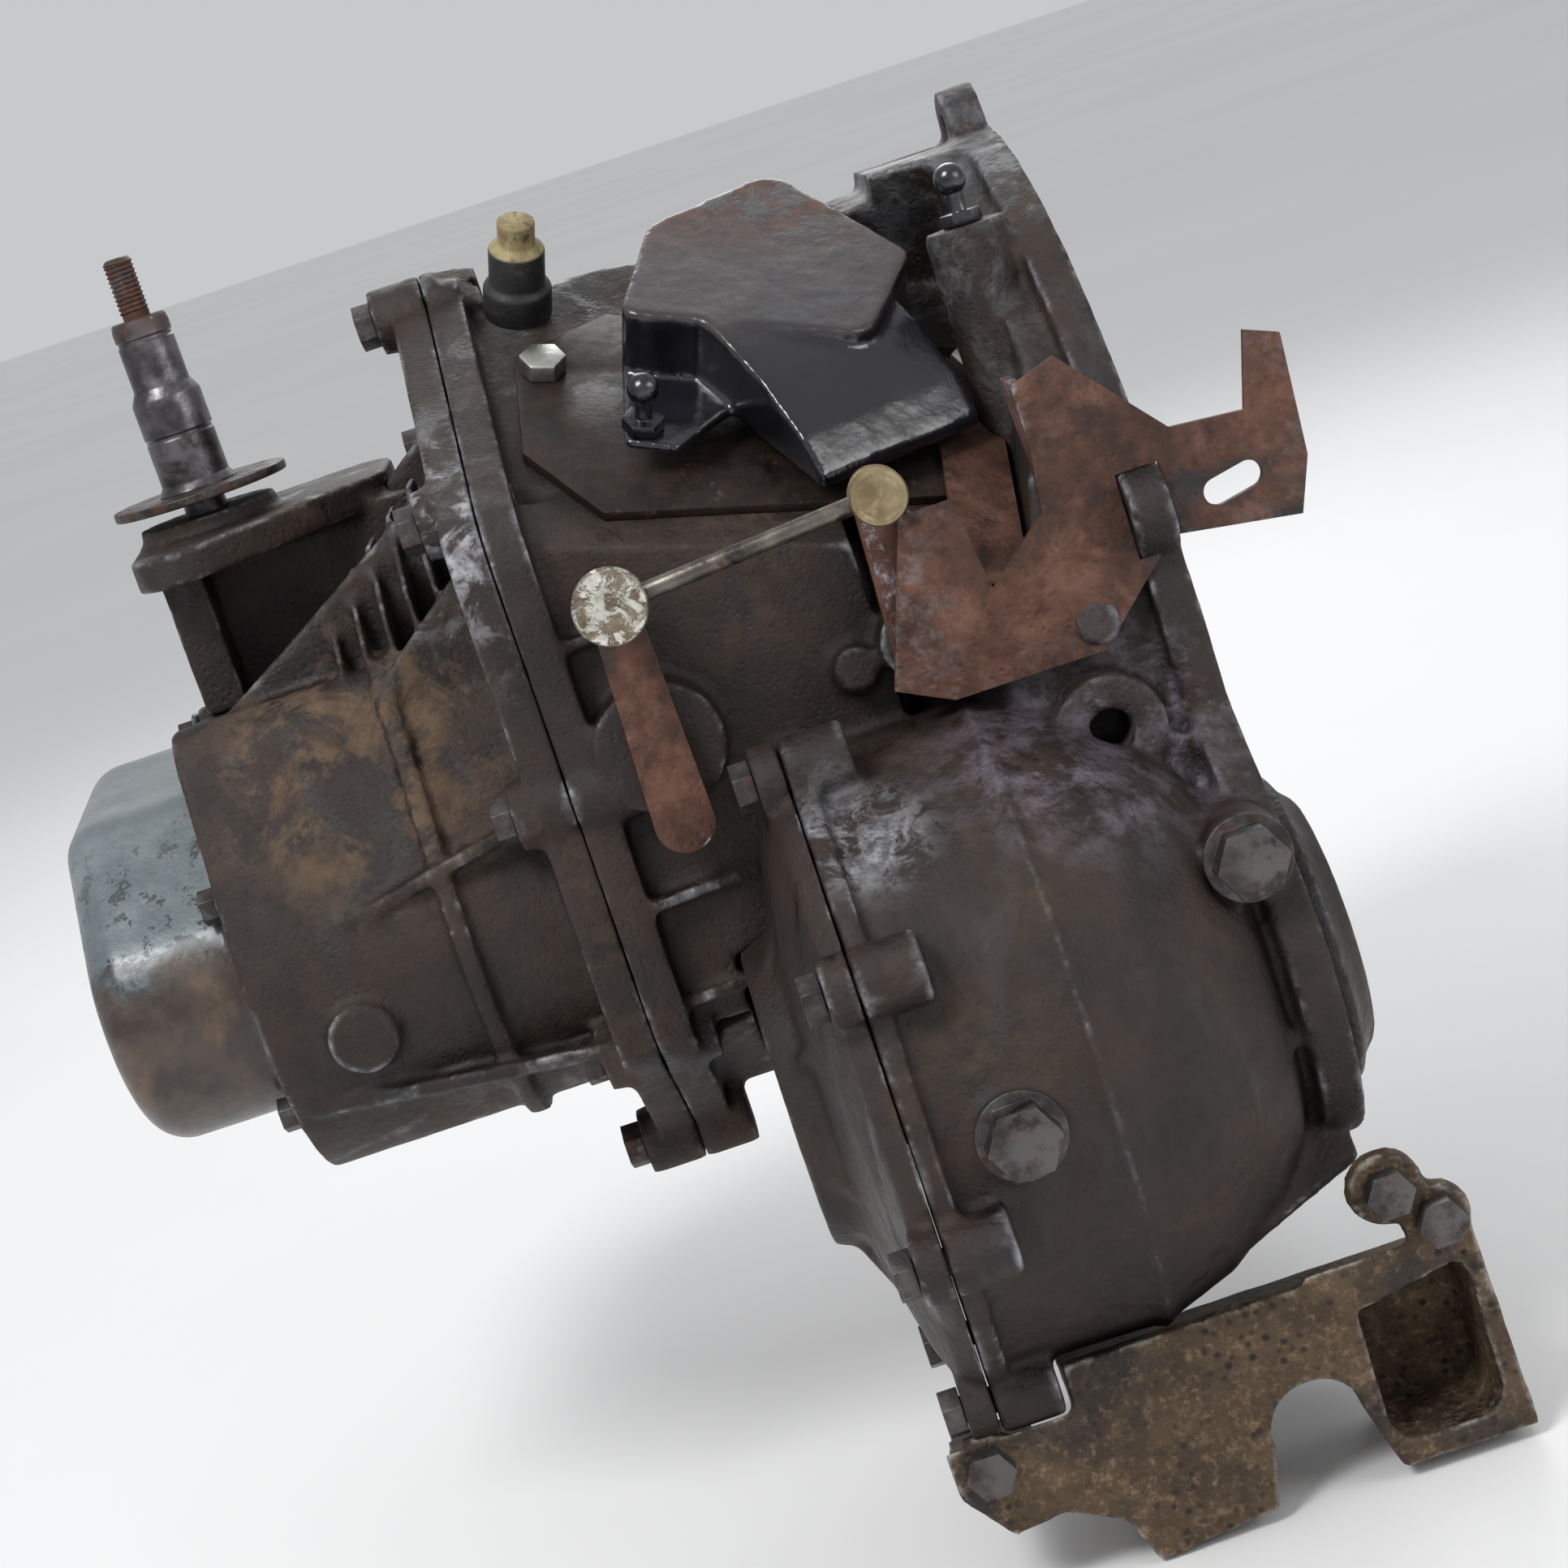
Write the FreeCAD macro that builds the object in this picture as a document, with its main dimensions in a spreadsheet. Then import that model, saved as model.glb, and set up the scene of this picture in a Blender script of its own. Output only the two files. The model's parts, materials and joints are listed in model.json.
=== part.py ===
import FreeCAD, Part
import math
import os
import Sketcher
from FreeCAD import Placement, Rotation, Vector

# Transverse five-speed manual transaxle, in millimetres.
# Origin: input shaft axis in the engine mating plane. +X points to the engine, +Z up,
# -Y to the final-drive side. Casings lie at negative X.

doc = FreeCAD.newDocument("manual_transaxle")
sheet = doc.addObject("Spreadsheet::Sheet", "Sizes")

DRIVING_SIZES = (
    ("gear_module", 2.25), ("pressure_angle", 25), ("tooth_backlash", 0.30),
    ("output_angle", 193), ("final_angle", 221.5), ("tooth_sum", 64), ("final_tooth_sum", 94),
    ("bell_outer", 158), ("bell_wall", 7), ("bell_depth", 97), ("bell_straight", 60),
    ("flange_thick", 13), ("bolt_circle", 165), ("bolt_hole", 5.5), ("ear_outer", 14),
    ("joint_x", 192), ("joint_thick", 12), ("casing_wall", 6),
    ("casing_end", 305), ("cover_end", 356), ("cover_wall", 2.5),
    ("final_joint", 130), ("drum_outer", 97), ("drum_inner", 90.5), ("ridge_x", 74),
    ("output_bore", 25), ("running_gap", 0.05), ("hub_outer", 32.95), ("end_hub_outer", 24.95),
    ("sleeve_wall", 7),
    ("rail_y", -95), ("rail_z", 52), ("rail_radius", 7),
    ("shaft_journal", 17), ("end_journal", 14), ("lever_arm", 47), ("sheet_metal", 3),
)
for row, (alias, value) in enumerate(DRIVING_SIZES, start=1):
    sheet.set("A%d" % row, alias)
    sheet.set("B%d" % row, str(value))
    sheet.setAlias("B%d" % row, alias)
doc.recompute()


class Dim:
    """A size with its number and the spreadsheet expression that gives it."""

    def __init__(self, value, text):
        self.value = float(value)
        self.text = text

    def __add__(self, other):
        return Dim(self.value + number(other), "(%s + %s)" % (self.text, text_of(other)))

    def __sub__(self, other):
        return Dim(self.value - number(other), "(%s - %s)" % (self.text, text_of(other)))

    def __mul__(self, other):
        return Dim(self.value * number(other), "(%s * %s)" % (self.text, text_of(other)))

    def __truediv__(self, other):
        return Dim(self.value / number(other), "(%s / %s)" % (self.text, text_of(other)))

    def __neg__(self):
        return Dim(-self.value, "(-%s)" % self.text)

    def __radd__(self, other):
        return self + other

    def __rsub__(self, other):
        return -self + other


def number(size):
    return size.value if isinstance(size, Dim) else float(size)


def text_of(size):
    return size.text if isinstance(size, Dim) else "(%r)" % float(size)


def cos_of(angle):
    return Dim(math.cos(math.radians(angle.value)), "cos(%s)" % angle.text)


def sin_of(angle):
    return Dim(math.sin(math.radians(angle.value)), "sin(%s)" % angle.text)


SIZE = {alias: Dim(sheet.get(alias), "Sizes." + alias) for alias, _ in DRIVING_SIZES}
MODULE = SIZE["gear_module"]
WALL = SIZE["casing_wall"]
GAP = SIZE["running_gap"]

# Shaft axes in the YZ plane: input at the origin, output and final drive at their gear distances.
SHAFT_DISTANCE = MODULE * SIZE["tooth_sum"] / 2
FINAL_DISTANCE = MODULE * SIZE["final_tooth_sum"] / 2
OUT_Y = SHAFT_DISTANCE * cos_of(SIZE["output_angle"])
OUT_Z = SHAFT_DISTANCE * sin_of(SIZE["output_angle"])
DIFF_Y = OUT_Y + FINAL_DISTANCE * cos_of(SIZE["final_angle"])
DIFF_Z = OUT_Z + FINAL_DISTANCE * sin_of(SIZE["final_angle"])
RAIL = (SIZE["rail_y"], SIZE["rail_z"])
INPUT = (0, 0)
OUTPUT = (OUT_Y, OUT_Z)
FINAL = (DIFF_Y, DIFF_Z)

TURN = {
    "x": Rotation(Vector(0, 0, 1), Vector(1, 0, 0)),
    "y": Rotation(Vector(0, 0, 1), Vector(0, 1, 0)),
    "z": Rotation(),
}

# Selector deck: a plane leaning towards the final-drive side and dipping to the engine.
DECK_DIP = 18.0
DECK_LEAN = 30.0
DECK_ORIGIN = Vector(-99.6, -85.9, 101.6)
DECK = Placement(DECK_ORIGIN, Rotation(Vector(0, 1, 0), DECK_DIP)
                 .multiply(Rotation(Vector(1, 0, 0), DECK_LEAN)))

nodes = []


# ---------------------------------------------------------------- building blocks

def bind(thing, prop, size):
    """Tie a property to the sheet, or set it when the size is a plain number."""
    if isinstance(size, Dim):
        thing.setExpression(prop, size.text)
    elif prop.startswith(".Placement"):
        pass
    else:
        setattr(thing, prop, float(size))


def put(thing, at, turn=None):
    """Place an object at three sizes, and tie each one that the sheet gives."""
    spot = Vector(*[number(size) for size in at])
    thing.Placement = Placement(spot, turn or Rotation())
    for axis, size in zip("xyz", at):
        bind(thing, ".Placement.Base." + axis, size)
    return thing


def cylinder(radius, length, at, axis="x"):
    """Cylinder from its base centre, along a row axis or a rotation."""
    thing = doc.addObject("Part::Cylinder", "cylinder")
    bind(thing, "Radius", radius)
    bind(thing, "Height", length)
    return put(thing, at, TURN.get(axis, axis))


def box(size, at, turn=None):
    """Box with its low corner at a point."""
    thing = doc.addObject("Part::Box", "box")
    for prop, length in zip(("Length", "Width", "Height"), size):
        bind(thing, prop, length)
    return put(thing, at, turn)


def ball(radius, at):
    thing = doc.addObject("Part::Sphere", "ball")
    bind(thing, "Radius", radius)
    return put(thing, at)


def hexagon(across_flats, length, at, axis="x"):
    """Hexagonal prism, such as a bolt's head."""
    thing = doc.addObject("Part::Prism", "hexagon")
    thing.Polygon = 6
    thing.Circumradius = across_flats / math.sqrt(3)
    thing.Height = length
    return put(thing, at, TURN.get(axis, axis))


def sketch_on(body, role):
    """Sketch on one of the body's own origin planes."""
    sketch = body.newObject("Sketcher::SketchObject", "outline")
    plane = [item for item in body.Origin.OriginFeatures if item.Role == role][0]
    sketch.AttachmentSupport = [(plane, "")]
    sketch.MapMode = "FlatFace"
    return sketch


def pin_point(sketch, geometry, point, first, second):
    """Fix one point of a sketch at two sizes measured from its origin."""
    for kind, size in (("DistanceX", first), ("DistanceY", second)):
        index = sketch.addConstraint(Sketcher.Constraint(kind, -1, 1, geometry, point, number(size)))
        if isinstance(size, Dim):
            sketch.setExpression("Constraints[%d]" % index, size.text)


def polygon_sketch(body, role, corners):
    sketch = sketch_on(body, role)
    spots = [Vector(number(first), number(second), 0) for first, second in corners]
    for index, spot in enumerate(spots):
        sketch.addGeometry(Part.LineSegment(spot, spots[(index + 1) % len(spots)]), False)
    for index, (first, second) in enumerate(corners):
        following = (index + 1) % len(corners)
        sketch.addConstraint(Sketcher.Constraint("Coincident", index, 2, following, 1))
        pin_point(sketch, index, 1, first, second)
    return sketch


def rounded_sketch(body, role, circles):
    """Convex outline that wraps circles (first, second, radius), given anticlockwise."""
    sketch = sketch_on(body, role)
    count = len(circles)
    normals = []
    for index, (first, second, radius) in enumerate(circles):
        other = circles[(index + 1) % count]
        run = Vector(number(other[0]) - number(first), number(other[1]) - number(second), 0)
        lean = math.acos((number(radius) - number(other[2])) / run.Length)
        normals.append(math.atan2(run.y, run.x) - lean)
    for index, (first, second, radius) in enumerate(circles):
        centre = Vector(number(first), number(second), 0)
        circle = Part.Circle(centre, Vector(0, 0, 1), number(radius))
        start = normals[index - 1]
        sweep = (normals[index] - start) % (2 * math.pi)
        sketch.addGeometry(Part.ArcOfCircle(circle, start, start + sweep), False)
    for index in range(count):
        arc = sketch.Geometry[index]
        following = sketch.Geometry[(index + 1) % count]
        sketch.addGeometry(Part.LineSegment(arc.EndPoint, following.StartPoint), False)
    for index, (first, second, radius) in enumerate(circles):
        pin_point(sketch, index, 3, first, second)
        spot = sketch.addConstraint(Sketcher.Constraint("Radius", index, number(radius)))
        if isinstance(radius, Dim):
            sketch.setExpression("Constraints[%d]" % spot, radius.text)
        line = count + index
        sketch.addConstraint(Sketcher.Constraint("Tangent", index, 2, line, 1))
        sketch.addConstraint(Sketcher.Constraint("Tangent", line, 2, (index + 1) % count, 1))
    return sketch


def pad(maker, outline, length, at, role="YZ_Plane", turn=None):
    """Body padded from an outline; along +X from the YZ plane."""
    body = doc.addObject("PartDesign::Body", "body")
    sketch = maker(body, role, outline)
    feature = body.newObject("PartDesign::Pad", "pad")
    feature.Profile = sketch
    bind(feature, "Length", length)
    body.Tip = feature
    return put(body, at, turn)


def plate(corners, length, at, role="YZ_Plane", turn=None):
    return pad(polygon_sketch, corners, length, at, role, turn)


def wrap(circles, length, at, role="YZ_Plane", turn=None):
    return pad(rounded_sketch, circles, length, at, role, turn)


def turned(profile, at, turn=None):
    """Body of revolution about X from (along, radius) corners."""
    body = doc.addObject("PartDesign::Body", "body")
    sketch = polygon_sketch(body, "XY_Plane", profile)
    feature = body.newObject("PartDesign::Revolution", "revolution")
    feature.Profile = sketch
    feature.ReferenceAxis = (sketch, ["H_Axis"])
    feature.Angle = 360
    body.Tip = feature
    return put(body, at, turn)


def join(*things):
    if len(things) == 1:
        return things[0]
    joined = doc.addObject("Part::MultiFuse", "join")
    joined.Shapes = list(things)
    joined.Refine = True
    return joined


def cut(base, *tools):
    result = doc.addObject("Part::Cut", "cut")
    result.Base = base
    result.Tool = join(*tools)
    result.Refine = True
    return result


def group(*things):
    """Separate solids that share a node."""
    result = doc.addObject("Part::Compound", "group")
    result.Links = list(things)
    return result


def keep(name, thing):
    """Name a finished sub-part; its label is its file's name."""
    thing.Label = name
    nodes.append(thing)
    return thing


def tube(outer, inner, length, at, axis="x"):
    """Ring or tube along X."""
    start = list(at)
    start[0] = number(at[0]) - 1 if not isinstance(at[0], Dim) else at[0] - 1
    return cut(cylinder(outer, length, at, axis), cylinder(inner, length + 2, start, axis))


def on_deck(u, v, height, turn=None):
    """Placement in the selector deck's own axes."""
    return DECK.multiply(Placement(Vector(u, v, height), turn or Rotation()))


def deck(thing, u, v, height, turn=None):
    thing.Placement = on_deck(u, v, height, turn)
    return thing


# ---------------------------------------------------------------- gears

ADDENDUM = 0.9
DEDENDUM = 1.2


def involute(angle):
    return math.tan(angle) - angle


def gear_shape(teeth, width, phase):
    """Spur gear along +X from the origin, with a tooth centred at phase degrees in YZ."""
    module = MODULE.value
    pitch = module * teeth / 2
    pressure = math.radians(SIZE["pressure_angle"].value)
    base = pitch * math.cos(pressure)
    tip = pitch + ADDENDUM * module
    root = pitch - DEDENDUM * module
    half = math.pi / (2 * teeth) - SIZE["tooth_backlash"].value / (2 * pitch)
    start = max(base, root)

    def flank(radius, side, centre):
        swing = half + involute(pressure) - involute(math.acos(min(1.0, base / radius)))
        angle = centre + side * swing
        return Vector(0, radius * math.cos(angle), radius * math.sin(angle))

    radii = [start + (tip - start) * step / 4 for step in range(5)]
    edges = []
    pitch_angle = 2 * math.pi / teeth
    for tooth in range(teeth):
        centre = math.radians(phase) + tooth * pitch_angle
        rising = [flank(radius, -1, centre) for radius in radii]
        falling = [flank(radius, 1, centre) for radius in reversed(radii)]
        foot_in = rising[0] * (root / start)
        foot_out = falling[-1] * (root / start)
        next_foot = flank(start, -1, centre + pitch_angle) * (root / start)
        for points in (rising, falling):
            curve = Part.BSplineCurve()
            curve.interpolate(points)
            edges.append(curve.toShape())
        edges.insert(-1, Part.makeLine(rising[-1], falling[0]))
        if start > root:
            edges.insert(-3, Part.makeLine(foot_in, rising[0]))
            edges.append(Part.makeLine(falling[-1], foot_out))
        edges.append(Part.makeLine(foot_out, next_foot))
    wire = Part.Wire(Part.__sortEdges__(edges))
    return Part.Face(wire).extrude(Vector(width, 0, 0))


def gear(teeth, width, axis, x, phase):
    """Toothed blank as a feature, because sketches hold no involute."""
    thing = doc.addObject("Part::Feature", "gear_%d" % teeth)
    thing.Shape = gear_shape(teeth, width, phase)
    return put(thing, (x, axis[0], axis[1]))


def loose_gear(name, teeth, width, x, dog_side, journal, hub=SIZE["hub_outer"]):
    """Gear that runs on the output shaft, with its dog ring and cone on one side."""
    phase = SIZE["output_angle"].value + 180 + 180 / teeth
    blank = gear(teeth, width, OUTPUT, x, phase)
    dog_x = x + width if dog_side > 0 else x - 6
    cone_x = x + width + 6 if dog_side > 0 else x - 9
    dog = cylinder(hub - 0.55, 6, (dog_x, OUT_Y, OUT_Z))
    friction = cylinder(hub - 7, 3, (cone_x, OUT_Y, OUT_Z))
    low = x - 20
    bore = cylinder(journal + GAP, width + 40, (low, OUT_Y, OUT_Z))
    body = join(blank, dog, friction)
    tools = [bore]
    if teeth > 38:
        for face in (x - 1, x + width - 3):
            if (face > x) != (dog_side > 0):
                tools.append(tube(MODULE * teeth / 2 - 8, 34, 4, (face, OUT_Y, OUT_Z)))
    return keep(name, cut(body, *tools))


def bearing(x, width, inner, outer, axis, balls=9):
    """Ball bearing: two races with a groove, and the balls."""
    middle = (inner + outer) / 2
    size = (outer - inner) * 0.28
    mid_x = x + width / 2
    groove = doc.addObject("Part::Torus", "groove")
    groove.Radius1 = middle
    groove.Radius2 = size + 0.05
    put(groove, (mid_x, axis[0], axis[1]), TURN["x"])
    outer_race = tube(outer, middle + size * 0.55, width, (x, axis[0], axis[1]))
    inner_race = tube(middle - size * 0.55, inner + GAP, width, (x, axis[0], axis[1]))
    rings = [cut(outer_race, groove), cut(inner_race, groove)]
    spheres = []
    for index in range(balls):
        angle = 2 * math.pi * index / balls
        spot = (mid_x, axis[0] + middle * math.cos(angle), axis[1] + middle * math.sin(angle))
        spheres.append(ball(size, spot))
    return rings + spheres


# Positions along X of the gear faces nearest the gearbox's end.
GEAR_1_X = -145
GEAR_2_X = -195
GEAR_3_X = -213
GEAR_4_X = -263
REVERSE_X = -300
GEAR_5_X = -348
FINAL_X = -123
SYNCHRO_X = (-163, -231, -318)
SYNCHRO_HUBS = (SIZE["hub_outer"], SIZE["hub_outer"], SIZE["end_hub_outer"])
TOOTH_PAIRS = {1: (14, 50), 2: (22, 42), 3: (28, 36), 4: (33, 31), 5: (37, 27)}
REVERSE_TEETH = (12, 16, 36)
FINAL_TEETH = (18, 76)


def input_side():
    """Input shaft with its cut gears, and the gears pressed on it."""
    profile = [(12, 0), (12, 8), (10, 9), (-2, 9), (-4, 12), (-62, 12), (-63, 12.4), (-108, 12.4),
               (-109, 12.4), (-266, 12.4), (-288, 12.4), (-289, 8), (-351, 8), (-351, 0)]
    shaft = turned(list(reversed(profile)), (0, 0, 0))
    phase = SIZE["output_angle"].value
    cut_gears = [gear(TOOTH_PAIRS[pair][0], width, INPUT, x, phase)
                 for pair, width, x in ((1, 16, GEAR_1_X), (2, 14, GEAR_2_X), (3, 14, GEAR_3_X))]
    splines = [box((50, 3, 3), (-56, -1.5, 10.2)) for _ in range(14)]
    for index, spline in enumerate(splines):
        spline.Placement = Placement(Vector(-56, 0, 0), Rotation(Vector(1, 0, 0), index * 360 / 14)) \
            .multiply(Placement(Vector(0, -1.2, 11.2), Rotation()))
        spline.Width = 2.4
        spline.Height = 2.0
    keep("input_shaft", join(shaft, *cut_gears, *splines))
    fourth = gear(TOOTH_PAIRS[4][0], 14, INPUT, GEAR_4_X, phase)
    keep("input_gear_4", cut(fourth, cylinder(12.4, 20, (GEAR_4_X - 3, 0, 0))))
    fifth = gear(TOOTH_PAIRS[5][0], 12, INPUT, GEAR_5_X, phase)
    reverse = gear(REVERSE_TEETH[0], 10, INPUT, REVERSE_X, idler_direction())
    neck = cylinder(10.2, REVERSE_X - GEAR_5_X, (GEAR_5_X, 0, 0))
    keep("input_gear_5", cut(join(fifth, reverse, neck), cylinder(8, 62, (GEAR_5_X - 2, 0, 0))))


def idler_axis():
    """Idler centre from its distances to the input and the output shaft."""
    driver, idler, driven = REVERSE_TEETH
    first = MODULE.value * (driver + idler) / 2
    second = MODULE.value * (idler + driven) / 2
    span = SHAFT_DISTANCE.value
    along = (first ** 2 - second ** 2 + span ** 2) / (2 * span)
    off = math.sqrt(first ** 2 - along ** 2)
    angle = math.radians(SIZE["output_angle"].value)
    return (along * math.cos(angle) + off * math.sin(angle),
            along * math.sin(angle) - off * math.cos(angle))


def idler_direction():
    y, z = idler_axis()
    return math.degrees(math.atan2(z, y))


def reverse_train():
    driver, idler, driven = REVERSE_TEETH
    axis = idler_axis()
    phase = idler_direction() + 180 + 180 / idler
    blank = gear(idler, 10, axis, REVERSE_X, phase)
    keep("reverse_idler", cut(blank, cylinder(7 + GAP, 14, (REVERSE_X - 2, axis[0], axis[1]))))
    pin = cylinder(7, 14.8, (-301, axis[0], axis[1]))
    washer = cylinder(10, 1.2, (-301.8, axis[0], axis[1]))
    keep("reverse_idler_shaft", join(pin, washer))
    towards = math.degrees(math.atan2(OUT_Z.value - axis[1], OUT_Y.value - axis[0]))
    pitch = 360 / idler
    offset = (phase - towards + pitch / 2) % pitch - pitch / 2
    driven_phase = towards + 180 - offset * idler / driven + 180 / driven
    blank = gear(driven, 10, OUTPUT, REVERSE_X, driven_phase)
    dog = cylinder(SIZE["end_hub_outer"] - 0.55, 4, (REVERSE_X - 4, OUT_Y, OUT_Z))
    bore = cylinder(SIZE["end_journal"] + GAP, 30, (REVERSE_X - 10, OUT_Y, OUT_Z))
    keep("reverse_driven_gear", cut(join(blank, dog), bore))


def output_side():
    """Output shaft with the final-drive pinion, hubs, rings and sleeves."""
    journal = SIZE["shaft_journal"]
    end = SIZE["end_journal"]
    profile = [(-350.5, 0), (-350.5, end), (-288, end), (-288, 15), (-266.5, 15), (-266.5, journal),
               (-128.5, journal), (-91, journal), (-91, 15), (-72, 15), (-72, 0)]
    shaft = turned(profile, (0, OUT_Y, OUT_Z))
    pinion = gear(FINAL_TEETH[0], 30, OUTPUT, FINAL_X, SIZE["final_angle"].value)
    keep("output_shaft", join(shaft, pinion))
    loose_gear("driven_gear_1", TOOTH_PAIRS[1][1], 16, GEAR_1_X, -1, journal)
    loose_gear("driven_gear_2", TOOTH_PAIRS[2][1], 14, GEAR_2_X, 1, journal)
    loose_gear("driven_gear_3", TOOTH_PAIRS[3][1], 14, GEAR_3_X, -1, journal)
    loose_gear("driven_gear_4", TOOTH_PAIRS[4][1], 14, GEAR_4_X, 1, journal)
    loose_gear("driven_gear_5", TOOTH_PAIRS[5][1], 12, GEAR_5_X, 1, end, SIZE["end_hub_outer"])
    hubs = []
    rings = []
    for middle, bore, hub in zip(SYNCHRO_X, (journal, journal, end), SYNCHRO_HUBS):
        disc = tube(hub, bore, 14, (middle - 7, OUT_Y, OUT_Z))
        recess = [tube(hub - 4, bore + 3, 4, (x, OUT_Y, OUT_Z)) for x in (middle - 8, middle + 4)]
        hubs.append(cut(disc, *recess))
        rings += [tube(hub - 1, hub - 6.7, 2, (middle + side * 10 - 1, OUT_Y, OUT_Z)) for side in (-1, 1)]
    keep("synchro_hubs", group(*hubs))
    keep("baulk_rings", group(*rings))
    for name, middle, hub in zip(("sleeve_12", "sleeve_34", "sleeve_5r"), SYNCHRO_X, SYNCHRO_HUBS):
        rim = hub + SIZE["sleeve_wall"]
        ring = tube(rim, hub + GAP, 17, (middle - 8.5, OUT_Y, OUT_Z))
        groove = tube(rim + 3, rim - 4, 7, (middle - 3.5, OUT_Y, OUT_Z))
        keep(name, cut(ring, groove))


def fork(name, middle, hub, rod, reach):
    """Shift fork: a half ring in the sleeve's groove, a web and a boss on its rod."""
    inside = hub + SIZE["sleeve_wall"] - 3.6
    rim = inside + reach
    ring = tube(rim, inside, 6.4, (middle - 3.2, OUT_Y, OUT_Z))
    half = box((20, 160, 70), (middle - 10, OUT_Y - 80, OUT_Z - 66))
    radius, length, rod_y, rod_z = rod
    boss = cylinder(radius + 5, length, (middle - length / 2, rod_y, rod_z))
    web = wrap([(OUT_Y + 8, OUT_Z + inside + 5, 4), (rod_y, rod_z, radius + 3),
                (OUT_Y - 22, OUT_Z + inside - 2, 4)], 6.4, (middle - 3.2, 0, 0))
    bore = cylinder(radius + GAP, 60, (middle - 30, rod_y, rod_z))
    clear = cylinder(inside, 20, (middle - 10, OUT_Y, OUT_Z))
    return keep(name, cut(join(cut(ring, half), web, boss), bore, clear))


END_ROD = (-62, 33)

# Shift linkage: the two pivots as (x, z), and the plane behind the arms.
LEVER_HUB = (-162, 28)
CRANK_HUB = (-80, 34)
LEVER_Y = -152.5
PIVOT_RADIUS = 6
BRACKET_Y = -159.5
DECK_WALL = 9
DECK_BOLTS = ((-70, 24), (64, 19))


def forks():
    rail = (SIZE["rail_radius"], 28, RAIL[0], RAIL[1])
    fork("fork_12", SYNCHRO_X[0], SYNCHRO_HUBS[0], rail, 11)
    fork("fork_34", SYNCHRO_X[1], SYNCHRO_HUBS[1], rail, 11)
    fork("fork_5r", SYNCHRO_X[2], SYNCHRO_HUBS[2], (5.95, 9, END_ROD[0], END_ROD[1]), 6)
    keep("selector_rail", cylinder(SIZE["rail_radius"], 167, (-274, RAIL[0], RAIL[1])))
    keep("fork_rod_5r", cylinder(6, 62, (-324, END_ROD[0], END_ROD[1])))


# ---------------------------------------------------------------- differential

SIDE_TEETH = 16
PLANET_TEETH = 10
BEVEL_MODULE = 3.0


def bevel_shape(teeth, mate, face_share=0.68):
    """Straight bevel gear with its apex at the origin, opening along +X."""
    pitch = BEVEL_MODULE * teeth / 2
    depth = BEVEL_MODULE * mate / 2
    count = teeth
    sections = []
    for scale in (1.0, face_share):
        points = []
        for tooth in range(count):
            centre = 2 * math.pi * tooth / count
            step = 2 * math.pi / count
            for radius, angle in ((pitch - 3.2, -0.34), (pitch + 1.7, -0.11),
                                  (pitch + 1.7, 0.11), (pitch - 3.2, 0.34)):
                swing = centre + angle * step
                points.append(Vector(depth * scale, radius * scale * math.cos(swing),
                                     radius * scale * math.sin(swing)))
        points.append(points[0])
        sections.append(Part.makePolygon(points))
    return Part.makeLoft(sections, True, True)


def bevel(teeth, mate, turn, at):
    thing = doc.addObject("Part::Feature", "bevel_%d" % teeth)
    thing.Shape = bevel_shape(teeth, mate)
    return put(thing, at, turn)


def differential():
    """Crown wheel, case, pin and bevel gears about the final-drive axis."""
    middle = -72.0
    crown_phase = SIZE["final_angle"].value + 180 + 180 / FINAL_TEETH[1]
    blank = gear(FINAL_TEETH[1], 30, FINAL, FINAL_X, crown_phase)
    recess = [tube(74, 52, 10, (x, DIFF_Y, DIFF_Z)) for x in (FINAL_X - 1, FINAL_X + 21)]
    bore = cylinder(42, 40, (FINAL_X - 5, DIFF_Y, DIFF_Z))
    seat = cylinder(50.1, 20, (-101, DIFF_Y, DIFF_Z))
    keep("crown_wheel", cut(blank, bore, seat, *recess))
    outer = [(-148, 0), (-148, 20), (-128, 20), (-128, 42), (-101, 42), (-101, 50), (-92.5, 50),
             (-92.5, 46), (-48, 46), (-44, 24), (-44, 20), (-20, 20), (-20, 0)]
    cavity = [(-104, 0), (-104, 33), (-86, 37), (-58, 37), (-50, 33), (-50, 0)]
    bores = cylinder(16, 140, (-155, DIFF_Y, DIFF_Z))
    window = box((40, 120, 46), (middle - 20, DIFF_Y - 60, DIFF_Z - 23))
    pin_hole = cylinder(7, 100, (middle, DIFF_Y, DIFF_Z - 50), "z")
    case = cut(turned(outer, (0, DIFF_Y, DIFF_Z)), turned(cavity, (0, DIFF_Y, DIFF_Z)),
               bores, window, pin_hole)
    keep("differential_case", case)
    keep("planet_pin", cylinder(7, 91, (middle, DIFF_Y, DIFF_Z - 45.5), "z"))
    apex = (middle, DIFF_Y, DIFF_Z)
    hole = cylinder(7 + GAP, 100, (middle, DIFF_Y, DIFF_Z - 50), "z")
    for name, turn in (("planet_gear_upper", Rotation(Vector(0, 1, 0), -90)),
                       ("planet_gear_lower", Rotation(Vector(0, 1, 0), 90))):
        keep(name, cut(bevel(PLANET_TEETH, SIDE_TEETH, turn, apex), hole))
    half_turn = Rotation(Vector(0, 0, 1), 180)
    for name, turn, start in (("side_gear_right", Rotation(), middle + 14),
                              ("side_gear_left", half_turn, middle - 57)):
        hub = cylinder(15.9, 43, (start, DIFF_Y, DIFF_Z))
        spline = cylinder(11, 60, (start - 6, DIFF_Y, DIFF_Z))
        head = bevel(SIDE_TEETH, PLANET_TEETH, turn, apex)
        keep(name, cut(join(head, hub), spline))


# ---------------------------------------------------------------- casings

MIDDLE_OUTLINE = [(0, 0, 62), (-14, 146, 14), (-126, 90, 14), (-118, -45, 22), (-76, -76, 22)]


def grown(circles, step):
    return [(first, second, radius + step) for first, second, radius in circles]


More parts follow.
